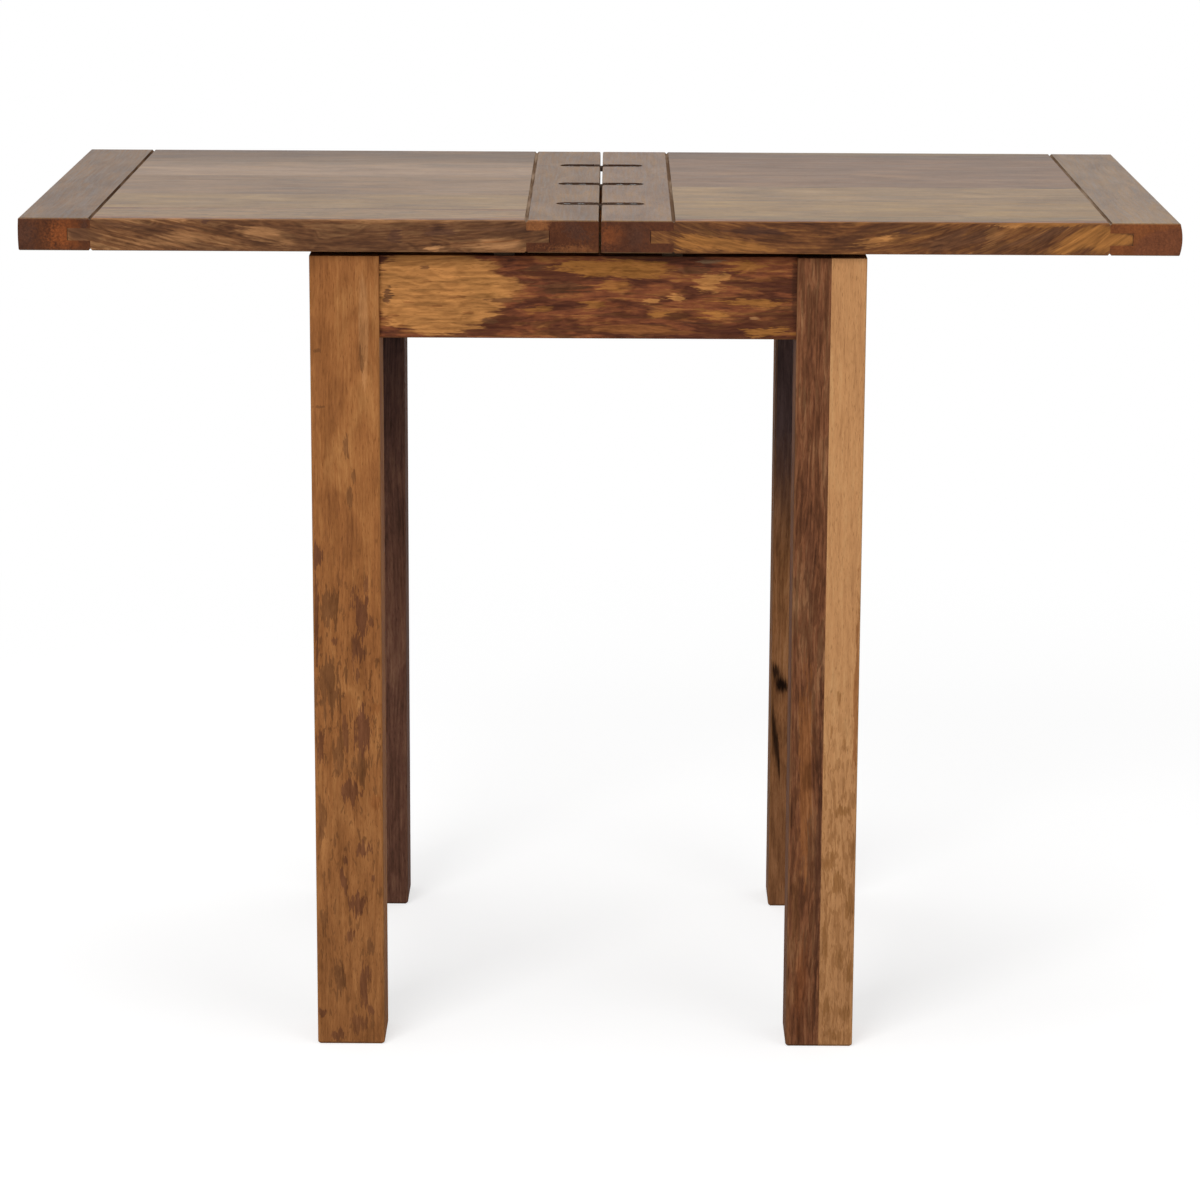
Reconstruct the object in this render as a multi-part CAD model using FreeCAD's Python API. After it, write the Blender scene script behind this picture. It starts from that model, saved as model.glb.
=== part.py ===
# Butterfly extension table, in millimetres: a square frame on four legs and a top of two hinged leaves.
# The right leaf turns on an off-centre pivot, and the left leaf folds over onto it on double-pin hinges.
# +X runs along the open top, +Y from the front to the back, +Z up.
# The origin is on the floor, under the middle of the seam between the open leaves.
import FreeCAD
import Part
import math
import os

from FreeCAD import Vector

# The top, whose leaves are square so that they cover the square frame when they are folded and turned
table_height = 771.0
leaf_side = 515.0
top_thickness = 29.0
edge_radius = 1.5
right_end_crown = 1.8
left_end_crown = 0.4

# The seam and the boards that run across each leaf at both ends of its planks
seam_gap = 2.3
seam_radius = 1.8
cross_board_width = 64.0
tongue_length = 20.0
tongue_thickness = 11.0
groove_relief = 0.5
v_groove_width = 3.5
v_groove_depth = 2.0

# Where the planks of each leaf meet, as shares of the depth from the front edge
right_joint_shares = (0.072, 0.264, 0.468, 0.683, 0.887)
left_joint_shares = (0.143, 0.334, 0.600, 0.808)

# The frame, and how far the folded top stands out from it all round
closed_overhang = 9.5
frame_offset = 10.4
leg_width = 62.0
leg_edge_radius = 2.0
foot_chamfer = 2.5
inner_strip_share = 0.49
apron_height = 74.0
apron_thickness = 22.0
apron_setback = 6.0
apron_edge_chamfer = 0.8
tenon_length = 24.0
tenon_thickness = 9.0
tenon_shoulder = 12.0
joint_clearance = 0.1

# Corner blocks behind the legs
corner_block_thickness = 20.0
corner_block_height = 45.0
corner_block_room = 2.0

# Square felt pads that the leaves slide on
glide_gap = 5.0
glide_width = 18.0
glide_spacing = 150.0
running_clearance = 0.2

# The pivot
pivot_board_room = 7.0
pivot_board_thickness = 20.0
pivot_housing_depth = 12.0
pivot_stud_radius = 6.0
pivot_stud_stub = 4.0
pivot_plate_radius = 45.0
pivot_plate_thickness = 3.0
pivot_ring_radius = 30.0
pivot_washer_radius = 15.0
pivot_washer_thickness = 2.5
pivot_nut_radius = 11.0
pivot_nut_height = 10.0
pivot_hole_clearance = 0.3

# The double-pin hinges, let in flush with the top
hinge_spacing = 143.0
plate_reach = 40.0
plate_width = 17.5
pin_offset = 3.2
pin_depth = 3.0
pin_radius = 1.1
pin_end_inset = 0.75
pin_clearance = 0.1
link_radius = 2.5
link_width = 6.0
link_clearance = 0.3
link_floor = 0.5
pocket_clearance = 0.2

# One overrun serves every cut
overrun = 1.0

# Heights and places that follow from the sizes above
top_z = table_height
under_z = table_height - top_thickness
frame_top = under_z - glide_gap
apron_inner_face = apron_setback + apron_thickness
corner_block_drop = pivot_board_thickness + corner_block_room
pivot_x = (leaf_side / 2 - frame_offset) / 2
pivot_y = (-leaf_side / 2 - frame_offset) / 2
plate_thickness = pin_depth + link_radius + link_floor
hinge_rows = [("front", -hinge_spacing), ("middle", 0), ("back", hinge_spacing)]

# The frame's corners, from the front left round to the back left
frame_side = leaf_side - 2 * closed_overhang
half_frame = frame_side / 2
corners = [
    ("front_left", 0, -frame_offset - half_frame, -half_frame),
    ("front_right", 90, -frame_offset + half_frame, -half_frame),
    ("back_right", 180, -frame_offset + half_frame, half_frame),
    ("back_left", 270, -frame_offset - half_frame, half_frame),
]

# The frame's sides, from the front round to the left
sides = [
    ("front", 0, -frame_offset, -half_frame),
    ("right", 90, -frame_offset + half_frame, 0),
    ("back", 180, -frame_offset, half_frame),
    ("left", 270, -frame_offset - half_frame, 0),
]


def block(x_range, y_range, z_range):
    """Returns a box between pairs of coordinates."""
    low = Vector(min(x_range), min(y_range), min(z_range))
    high = Vector(max(x_range), max(y_range), max(z_range))
    size = high - low
    return Part.makeBox(size.x, size.y, size.z, low)


def prism(outline, sweep):
    """Returns a closed outline of points swept along a vector."""
    return Part.Face(Part.makePolygon(outline + outline[:1])).extrude(sweep)


def cylinder(radius, start, end):
    """Returns a cylinder between two points."""
    axis = end - start
    return Part.makeCylinder(radius, axis.Length, start, axis)


def ring(outer_radius, inner_radius, start, end):
    """Returns a flat ring between two points on its axis."""
    return cylinder(outer_radius, start, end).cut(cylinder(inner_radius, start, end))


def hexagon(radius, start, end):
    """Returns a hexagonal prism between two heights on a vertical axis, with its corners on a radius."""
    outline = []
    for turn in range(6):
        angle = math.radians(60 * turn)
        outline.append(start + Vector(radius * math.cos(angle), radius * math.sin(angle), 0))
    return prism(outline, end - start)


def turned(shape, angle, x, y):
    """Returns a copy turned about the upright through its origin, then moved to x, y."""
    copy = shape.copy()
    copy.rotate(Vector(0, 0, 0), Vector(0, 0, 1), angle)
    copy.translate(Vector(x, y, 0))
    return copy


def cut_all(shape, tools):
    """Returns the shape with each tool cut out of it."""
    for tool in tools:
        shape = shape.cut(tool)
    return shape


def save(node, *solids):
    """Writes one node, of one solid or of a set of alike solids."""
    shape = solids[0] if len(solids) == 1 else Part.makeCompound(list(solids))
    shape.exportStep("parts/" + node + ".step")


# The frame


def tenon(y_middle, clearance):
    """Returns a tenon that enters a leg from its +X face, or its mortise where there is a clearance."""
    half = tenon_thickness / 2 + clearance
    low = frame_top - apron_height + tenon_shoulder - clearance
    high = frame_top - tenon_shoulder + clearance
    return block((leg_width - tenon_length - clearance, leg_width + clearance),
                 (y_middle - half, y_middle + half), (low, high))


def leg():
    """Returns a leg whose outer corner is at the origin, with mortises in its two inner faces."""
    post = block((0, leg_width), (0, leg_width), (0, frame_top))
    uprights = [edge for edge in post.Edges if edge.Length > frame_top - leg_width]
    post = post.makeFillet(leg_edge_radius, uprights)
    outline = [(0, foot_chamfer), (foot_chamfer, 0), (leg_width - foot_chamfer, 0), (leg_width, foot_chamfer),
               (leg_width, frame_top), (0, frame_top)]
    foot = prism([Vector(x, 0, z) for x, z in outline], Vector(0, leg_width, 0))
    post = post.common(foot).common(foot.mirror(Vector(0, 0, 0), Vector(1, -1, 0)))
    y_middle = apron_setback + apron_thickness / 2
    mortise = tenon(y_middle, joint_clearance)
    crossed = mortise.mirror(Vector(0, 0, 0), Vector(1, -1, 0))
    return cut_all(post, [mortise, crossed])


def corner_block():
    """Returns the block that fits round the inner corner of a leg whose outer corner is at the origin."""
    reach = 2 * leg_width + corner_block_thickness * math.sqrt(2) - apron_inner_face
    top = frame_top - corner_block_drop
    outline = [
        Vector(leg_width, apron_inner_face, top),
        Vector(reach, apron_inner_face, top),
        Vector(apron_inner_face, reach, top),
        Vector(apron_inner_face, leg_width, top),
        Vector(leg_width, leg_width, top),
    ]
    return prism(outline, Vector(0, 0, -corner_block_height))


def apron():
    """Returns an apron along X with a tenon at each end. Its legs' outer faces are at Y = 0."""
    half = half_frame - leg_width
    bottom = frame_top - apron_height
    outline = [
        Vector(-half, apron_setback, frame_top),
        Vector(-half, apron_setback, bottom + apron_edge_chamfer),
        Vector(-half, apron_setback + apron_edge_chamfer, bottom),
        Vector(-half, apron_inner_face - apron_edge_chamfer, bottom),
        Vector(-half, apron_inner_face, bottom + apron_edge_chamfer),
        Vector(-half, apron_inner_face, frame_top),
    ]
    board = prism(outline, Vector(2 * half, 0, 0))
    left_tenon = tenon(apron_setback + apron_thickness / 2, 0)
    left_tenon.translate(Vector(-half - leg_width, 0, 0))
    right_tenon = left_tenon.mirror(Vector(0, 0, 0), Vector(1, 0, 0))
    return board.fuse(left_tenon).fuse(right_tenon)


def make_legs():
    """Writes the legs. The front right one is glued up from two strips."""
    for name, angle, x, y in corners:
        post = turned(leg(), angle, x, y)
        if name != "front_right":
            save("leg_" + name, post)
            continue
        inner_face = x - leg_width
        split = inner_face + leg_width * inner_strip_share
        rows = (y - overrun, y + leg_width + overrun)
        heights = (-overrun, frame_top + overrun)
        save("leg_front_right_inner_strip", post.common(block((inner_face - overrun, split), rows, heights)))
        save("leg_front_right_outer_strip", post.common(block((split, x + overrun), rows, heights)))


def pivot_board():
    """Returns the board under the pivot, which lies in housings in the left and right aprons."""
    reach = half_frame - apron_inner_face + pivot_housing_depth
    half = half_frame - leg_width - pivot_board_room + pivot_y
    heights = (frame_top - pivot_board_thickness, frame_top)
    return block((-frame_offset - reach, -frame_offset + reach), (pivot_y - half, pivot_y + half), heights)


def make_frame():
    """Writes the aprons, the corner blocks and the pivot board."""
    board = pivot_board()
    for name, angle, x, y in sides:
        save("apron_" + name, turned(apron(), angle, x, y).cut(board))
    for name, angle, x, y in corners:
        save("corner_block_" + name, turned(corner_block(), angle, x, y))
    shaft_hole = cylinder(pivot_stud_radius + pivot_hole_clearance,
                          Vector(pivot_x, pivot_y, frame_top - pivot_board_thickness - overrun),
                          Vector(pivot_x, pivot_y, frame_top + overrun))
    save("pivot_board", board.cut(shaft_hole))


def make_glides():
    """Writes the felt pads on the legs and aprons, and the slip ring on the pivot board."""
    leg_row = half_frame - leg_width / 2
    apron_row = half_frame - apron_setback - apron_thickness / 2
    places = [(x, y) for x in (-leg_row, leg_row) for y in (-leg_row, leg_row)]
    places += [(x, y) for x in (-glide_spacing / 2, glide_spacing / 2) for y in (-apron_row, apron_row)]
    half = glide_width / 2
    heights = (frame_top, under_z - running_clearance)
    pads = [
        block((x - frame_offset - half, x - frame_offset + half), (y - half, y + half), heights)
        for x, y in places
    ]
    save("glide_pads", *pads)
    save("slip_ring", ring(pivot_ring_radius, pivot_stud_radius + pivot_hole_clearance,
                           Vector(pivot_x, pivot_y, frame_top),
                           Vector(pivot_x, pivot_y, under_z - pivot_plate_thickness - running_clearance)))


# The hinges


def plate_outline(reach, half_width, z):
    """Returns the face of a right hinge plate seen from above, square at the seam and round at its end."""
    middle = reach - half_width
    start = Vector(0, -half_width, z)
    end = Vector(0, half_width, z)
    lower = Vector(middle, -half_width, z)
    upper = Vector(middle, half_width, z)
    edges = [
        Part.makeLine(start, lower),
        Part.Arc(lower, Vector(reach, 0, z), upper).toShape(),
        Part.makeLine(upper, end),
        Part.makeLine(end, start),
    ]
    return Part.Face(Part.Wire(edges))


def hinge_pin(side, row, radius, half_width):
    """Returns one hinge pin, or its bore, across the hinge on one side of the seam."""
    x = side * pin_offset
    z = top_z - pin_depth
    return cylinder(radius, Vector(x, row - half_width, z), Vector(x, row + half_width, z))


def hinge_plate(row, envelope):
    """Returns a right hinge plate, with a fork at the seam that holds the pin."""
    z = top_z - plate_thickness
    plate = plate_outline(plate_reach, plate_width / 2, z).extrude(Vector(0, 0, plate_thickness))
    plate.translate(Vector(0, row, 0))
    half_slot = link_width / 2 + link_clearance
    slot = block((-overrun, pin_offset + link_radius + link_clearance),
                 (row - half_slot, row + half_slot), (z - overrun, top_z + overrun))
    bore = hinge_pin(1, row, pin_radius + pin_clearance, plate_width)
    return cut_all(plate.common(envelope), [slot, bore])


def hinge_pocket(row):
    """Returns the pocket for a right hinge plate."""
    z = top_z - plate_thickness
    pocket = plate_outline(plate_reach + pocket_clearance, plate_width / 2 + pocket_clearance, z)
    pocket = pocket.extrude(Vector(0, 0, plate_thickness + overrun))
    pocket.translate(Vector(0, row, 0))
    return pocket


def hinge_link(row):
    """Returns the link between the two pins of a hinge, round at both ends."""
    z = top_z - pin_depth
    half = link_width / 2
    bar = block((-pin_offset, pin_offset), (row - half, row + half), (z - link_radius, z + link_radius))
    for side in (-1, 1):
        bar = bar.fuse(hinge_pin(side, row, link_radius, half))
    for side in (-1, 1):
        bar = bar.cut(hinge_pin(side, row, pin_radius, link_width))
    return bar


def make_links():
    """Writes the three links and their six pins."""
    pins = []
    for name, row in hinge_rows:
        save("hinge_link_" + name, hinge_link(row))
        pins += [hinge_pin(side, row, pin_radius, plate_width / 2 - pin_end_inset) for side in (-1, 1)]
    save("hinge_pins", *pins)


# The leaves


def quarter(x, z, radius, start):
    """Returns a quarter circle in the XZ plane about a centre, counter-clockwise from a start angle."""
    points = []
    for angle in (start, start + 45, start + 90):
        turn = math.radians(angle)
        points.append(Vector(x + radius * math.cos(turn), 0, z + radius * math.sin(turn)))
    return Part.Arc(*points).toShape()


def leaf_envelope(end_crown):
    """Returns a right leaf's outer form: softened edges, the hinge side's larger round and a crowned end."""
    seam = seam_gap / 2
    end = leaf_side - end_crown
    radius = edge_radius
    edges = [
        Part.makeLine(Vector(seam + radius, 0, under_z), Vector(end - radius, 0, under_z)),
        quarter(end - radius, under_z + radius, radius, -90),
        Part.Arc(Vector(end, 0, under_z + radius), Vector(end + end_crown, 0, (under_z + top_z) / 2),
                 Vector(end, 0, top_z - radius)).toShape(),
        quarter(end - radius, top_z - radius, radius, 0),
        Part.makeLine(Vector(end - radius, 0, top_z), Vector(seam + seam_radius, 0, top_z)),
        quarter(seam + seam_radius, top_z - seam_radius, seam_radius, 90),
        Part.makeLine(Vector(seam, 0, top_z - seam_radius), Vector(seam, 0, under_z + radius)),
        quarter(seam + radius, under_z + radius, radius, 180),
    ]
    along = Part.Face(Part.Wire(edges)).extrude(Vector(0, leaf_side, 0))
    along.translate(Vector(0, -leaf_side / 2, 0))
    across = block((-overrun, leaf_side + overrun), (-leaf_side / 2, leaf_side / 2), (under_z, top_z))
    long_edges = [edge for edge in across.Edges if edge.Length > leaf_side + overrun]
    return along.common(across.makeFillet(radius, long_edges))


def tongue_heights():
    """Returns the heights of the tongue's lower and upper face."""
    middle = (under_z + top_z) / 2
    return middle - tongue_thickness / 2, middle + tongue_thickness / 2


def cross_board(face, back):
    """Returns a board across a right leaf, grooved in the face towards the planks and plain at its back."""
    towards = 1 if face > back else -1
    floor = face - towards * (tongue_length + groove_relief)
    chamfer = face - towards * v_groove_width / 2
    low, high = tongue_heights()
    outline = [
        (back, under_z), (chamfer, under_z), (face, under_z + v_groove_depth), (face, low), (floor, low),
        (floor, high), (face, high), (face, top_z - v_groove_depth), (chamfer, top_z), (back, top_z),
    ]
    points = [Vector(x, -leaf_side / 2, z) for x, z in outline]
    return prism(points, Vector(0, leaf_side, 0))


def plank(start, end, front, back):
    """Returns a plank along X with a tongue and chamfered shoulders at each end."""
    low, high = tongue_heights()
    middle = (start + end) / 2
    half = (end - start) / 2
    chamfer = half - v_groove_width / 2
    tip = half + tongue_length
    upper = [
        (chamfer, top_z), (half, top_z - v_groove_depth), (half, high), (tip, high),
    ]
    lower = [
        (tip, low), (half, low), (half, under_z + v_groove_depth), (chamfer, under_z),
    ]
    right = upper + lower
    left = [(-x, z) for x, z in reversed(right)]
    points = [Vector(middle + x, front, z) for x, z in right + left]
    return prism(points, Vector(0, back - front, 0))


def make_leaf(side, name, end_crown, joint_shares):
    """Writes the planks, cross boards and hinge plates of one leaf: side 1 is the right one."""

    def put(node, solid):
        """Writes a right leaf's node, or its mirror image in the left leaf."""
        seam = (Vector(0, 0, 0), Vector(1, 0, 0))
        save(name + "_" + node, solid if side > 0 else solid.mirror(*seam))

    envelope = leaf_envelope(end_crown)
    start = seam_gap / 2 + cross_board_width
    end = leaf_side - cross_board_width
    pockets = [hinge_pocket(row) for row_name, row in hinge_rows]
    put("inner_cross_board", cut_all(cross_board(start, 0).common(envelope), pockets))
    put("outer_cross_board", cross_board(end, leaf_side).common(envelope))
    places = [-leaf_side / 2 + leaf_side * share for share in (0,) + joint_shares + (1,)]
    for number, (front, back) in enumerate(zip(places, places[1:]), 1):
        put("plank_" + str(number), plank(start, end, front, back).common(envelope))
    for row_name, row in hinge_rows:
        put("hinge_plate_" + row_name, hinge_plate(row, envelope))


def make_pivot():
    """Writes the pivot plate with its stud, and the washer and nut under the board."""
    under_board = frame_top - pivot_board_thickness - running_clearance
    washer_seat = under_board - pivot_washer_thickness
    nut_seat = washer_seat - pivot_nut_height
    foot = nut_seat - pivot_stud_stub
    plate_z = under_z - pivot_plate_thickness

    def on_axis(z):
        """Returns a point on the pivot's axis."""
        return Vector(pivot_x, pivot_y, z)

    plate = cylinder(pivot_plate_radius, on_axis(plate_z), on_axis(under_z))
    plate = plate.fuse(cylinder(pivot_stud_radius, on_axis(foot), on_axis(plate_z)))
    save("pivot_plate", plate)
    bore = pivot_stud_radius + joint_clearance
    save("pivot_washer", ring(pivot_washer_radius, bore, on_axis(washer_seat), on_axis(under_board)))
    nut = hexagon(pivot_nut_radius, on_axis(nut_seat), on_axis(washer_seat))
    save("pivot_nut", nut.cut(cylinder(bore, on_axis(foot), on_axis(under_board))))


os.makedirs("parts", exist_ok=True)
make_legs()
make_frame()
make_glides()
make_leaf(1, "right", right_end_crown, right_joint_shares)
make_leaf(-1, "left", left_end_crown, left_joint_shares)
make_links()
make_pivot()
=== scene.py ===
"""Dresses the butterfly extension table: its mango boards, hinges and fasteners, the floor and the light."""

import logging
import math
from dataclasses import dataclass, fields, replace
from enum import Enum

import bmesh
import bpy
from bpy.types import Material, Mesh, Node, NodeSocket, NodeTree, Object
from mathutils import Matrix, Vector


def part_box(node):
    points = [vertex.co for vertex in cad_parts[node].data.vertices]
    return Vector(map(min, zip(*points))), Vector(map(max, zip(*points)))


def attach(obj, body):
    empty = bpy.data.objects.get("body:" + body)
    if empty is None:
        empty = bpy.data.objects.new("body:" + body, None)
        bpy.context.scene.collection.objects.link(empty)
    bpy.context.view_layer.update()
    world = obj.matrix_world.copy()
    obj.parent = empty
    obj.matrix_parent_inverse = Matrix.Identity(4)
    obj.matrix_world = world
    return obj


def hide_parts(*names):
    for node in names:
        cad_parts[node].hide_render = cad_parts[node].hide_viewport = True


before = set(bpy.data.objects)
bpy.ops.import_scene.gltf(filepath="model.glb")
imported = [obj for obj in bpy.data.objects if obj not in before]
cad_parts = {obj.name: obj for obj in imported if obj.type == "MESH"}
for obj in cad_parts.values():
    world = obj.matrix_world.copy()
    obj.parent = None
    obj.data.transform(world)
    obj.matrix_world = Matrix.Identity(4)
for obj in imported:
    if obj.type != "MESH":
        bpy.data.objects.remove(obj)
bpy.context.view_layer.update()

logging.basicConfig(level=logging.INFO, format="%(message)s")
log = logging.getLogger("table")

MM = 0.001
UP = (0.0, 0.0, 1.0)
DOWN = (0.0, 0.0, -1.0)
ROWS = ("front", "middle", "back")
MATH = "ShaderNodeMath"
VECTOR_MATH = "ShaderNodeVectorMath"
COMBINE = "ShaderNodeCombineXYZ"
SEPARATE = "ShaderNodeSeparateXYZ"
NOISE = "ShaderNodeTexNoise"
BUMP = "ShaderNodeBump"
RANGE = "ShaderNodeMapRange"
MIX = "ShaderNodeMix"
TRANSFORM = "GeometryNodeTransform"
SMOOTH = {"interpolation_type": "SMOOTHSTEP"}
COLOUR = {"data_type": "RGBA"}
Pair = tuple[float, float]
Place = tuple[float, float, float]


def linear(code: str) -> tuple[float, float, float, float]:
    """Turns an sRGB hex value into a linear colour.

    Args:
        code: the colour as #rrggbb.

    Returns:
        The linear colour with an alpha of 1.
    """
    shares = [int(code[place:place + 2], 16) / 255 for place in (1, 3, 5)]
    values = [share / 12.92 if share <= 0.04045 else ((share + 0.055) / 1.055) ** 2.4 for share in shares]
    return values[0], values[1], values[2], 1.0


def feed(tree: NodeTree, node: Node, inputs: tuple | dict) -> None:
    """Sets or links a node's inputs.

    Args:
        tree: the node tree.
        node: the node.
        inputs: a value, a hex colour, an output socket or a node for each input: a tuple in the order of the
            inputs in use, or a dict by name or number. A node stands for its first output in use.
    """
    if isinstance(inputs, tuple):
        inputs = dict(zip((number for number, socket in enumerate(node.inputs) if socket.enabled), inputs))
    for name, value in inputs.items():
        if isinstance(value, Node):
            value = next(output for output in value.outputs if output.enabled)
        if isinstance(value, str) and value.startswith("#"):
            value = linear(value)
        if isinstance(value, NodeSocket):
            tree.links.new(value, node.inputs[name])
        else:
            node.inputs[name].default_value = value


def add(tree: NodeTree, kind: str, inputs: tuple | dict = (), **settings: str) -> Node:
    """Adds one node to a tree with its settings, and sets or links its inputs.

    Args:
        tree: the node tree.
        kind: the node's type.
        inputs: its inputs, as feed takes them.
        settings: its properties.

    Returns:
        The new node.
    """
    node = tree.nodes.new(kind)
    for name, value in settings.items():
        setattr(node, name, value)
    feed(tree, node, inputs)
    return node


def start_material(name: str) -> tuple[Material, NodeTree, NodeSocket]:
    """Starts a material.

    Args:
        name: the material's name.

    Returns:
        The material, its tree and the place on the piece in metres.
    """
    material = bpy.data.materials.new(name)
    material.use_nodes = True
    return material, material.node_tree, add(material.node_tree, "ShaderNodeTexCoord").outputs["Object"]


def end_material(material: Material, inputs: dict) -> Material:
    """Sets or links the inputs of a material's surface, and returns the material."""
    feed(material.node_tree, material.node_tree.nodes["Principled BSDF"], inputs)
    return material


def dress(node_name: str, material: Material) -> None:
    """Gives a CAD node's object one material.

    Args:
        node_name: the node's name.
        material: the material.
    """
    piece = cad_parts[node_name]
    if not piece.material_slots:
        piece.data.materials.append(material)
    for slot in piece.material_slots:
        slot.material = material
    log.info("%s: %s", node_name, material.name)


class Grain(Enum):
    """The way a board's fibres run, as the order of the axes: along, across, across."""

    LENGTHWISE = (0, 1, 2)
    FRONT_TO_BACK = (1, 0, 2)
    UPRIGHT = (2, 0, 1)


class Tone(Enum):
    """The tones of the marks in the wood, from dark heart to pale sap."""

    SOOT = "#4c2f22"
    HEART = "#62402a"
    CHESTNUT = "#67402c"
    UMBER = "#70492d"
    RUST = "#8f4d24"
    RUSSET = "#8a5630"
    AMBER = "#9c6733"
    BRONZE = "#8c5f37"
    HONEY = "#b37b45"
    STRAW = "#ae7c50"
    TAUPE = "#7a614a"


SOOT, HEART, CHESTNUT, UMBER, RUST, RUSSET, AMBER, BRONZE, HONEY, STRAW, TAUPE = Tone


@dataclass(frozen=True)
class Mark:
    """A patch of another tone in a board, such as a knot, a spalted patch, a pale band or painted shade. Places
    are in mm.
    """

    centre: Place
    reach: Place
    tone: str
    strength: float = 0.85
    softness: float = 0.35
    ragged: float = 0.6
    lean: float = 0.0


def marks(face: float, depth: float, *rows: tuple) -> tuple[Mark, ...]:
    """Turns rows of sizes into the marks of one board that looks to the front.

    Args:
        face: where the board's front face is in Y, in mm.
        depth: how far the marks go in, in mm.
        rows: for each mark its X and Z, half its width and height, its tone and its strength, and then its
            lean, raggedness and softness where they aren't a Mark's own.

    Returns:
        The marks.
    """
    return tuple(Mark((x, face, z), (wide, depth, high), tone.value, strength,
                      **dict(zip(("lean", "ragged", "softness"), rest)))
                 for x, z, wide, high, tone, strength, *rest in rows)


def start_tree(name: str, sizes: tuple[str, ...]) -> tuple[NodeTree, Node]:
    """Starts a geometry tree.

    Args:
        name: the tree's name.
        sizes: the names of its sizes. It also has an input named Finish, for the material.

    Returns:
        The tree and its input node.
    """
    tree = bpy.data.node_groups.new(name, "GeometryNodeTree")
    tree.interface.new_socket("Geometry", in_out="INPUT", socket_type="NodeSocketGeometry")
    tree.interface.new_socket("Geometry", in_out="OUTPUT", socket_type="NodeSocketGeometry")
    for size in sizes:
        tree.interface.new_socket(size, in_out="INPUT", socket_type="NodeSocketFloat")
    tree.interface.new_socket("Finish", in_out="INPUT", socket_type="NodeSocketMaterial")
    return tree, add(tree, "NodeGroupInput")


def end_tree(tree: NodeTree, start: Node, shape: Node) -> None:
    """Ends a geometry tree: its instances become a mesh, which gets the material.

    Args:
        tree: the geometry tree.
        start: its input node.
        shape: the node of its shape.
    """
    real = add(tree, "GeometryNodeRealizeInstances", (shape,))
    dressed = add(tree, "GeometryNodeSetMaterial", {"Geometry": real, "Material": start.outputs["Finish"]})
    add(tree, "NodeGroupOutput", {0: dressed})


def settle(name: str, mesh: Mesh, tree: NodeTree, sizes: dict[str, float], finish: Material) -> Object:
    """Runs a geometry tree on a mesh and keeps what it makes as a plain mesh.

    Args:
        name: the new piece's name.
        mesh: the mesh that the tree starts from.
        tree: the geometry tree.
        sizes: its sizes in mm, by name.
        finish: the material.

    Returns:
        The piece, with no modifier left on it.
    """
    piece = bpy.data.objects.new(name, mesh)
    bpy.context.scene.collection.objects.link(piece)
    modifier = piece.modifiers.new("shape", "NODES")
    modifier.node_group = tree
    values = {size: value * MM for size, value in sizes.items()} | {"Finish": finish}
    for item in tree.interface.items_tree:
        if item.in_out == "INPUT" and item.name in values:
            modifier[item.identifier] = values[item.name]
    depsgraph = bpy.context.evaluated_depsgraph_get()
    plain = bpy.data.meshes.new_from_object(piece.evaluated_get(depsgraph), depsgraph=depsgraph)
    piece.modifiers.clear()
    piece.data = plain
    if not plain.materials:
        plain.materials.append(finish)
    log.info("%s: %d faces", name, len(plain.polygons))
    return piece


@dataclass(frozen=True)
class Figure:
    """The places in one board, in mm, the way its faces look, and the patterns that its tones are made from."""

    here: Node
    split: Node
    straight: Node
    normal: NodeSocket
    facing: Node
    drift: Node
    bend: Node
    swirl: Node
    streak: Node
    fleck: Node
    mottle: Node


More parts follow.
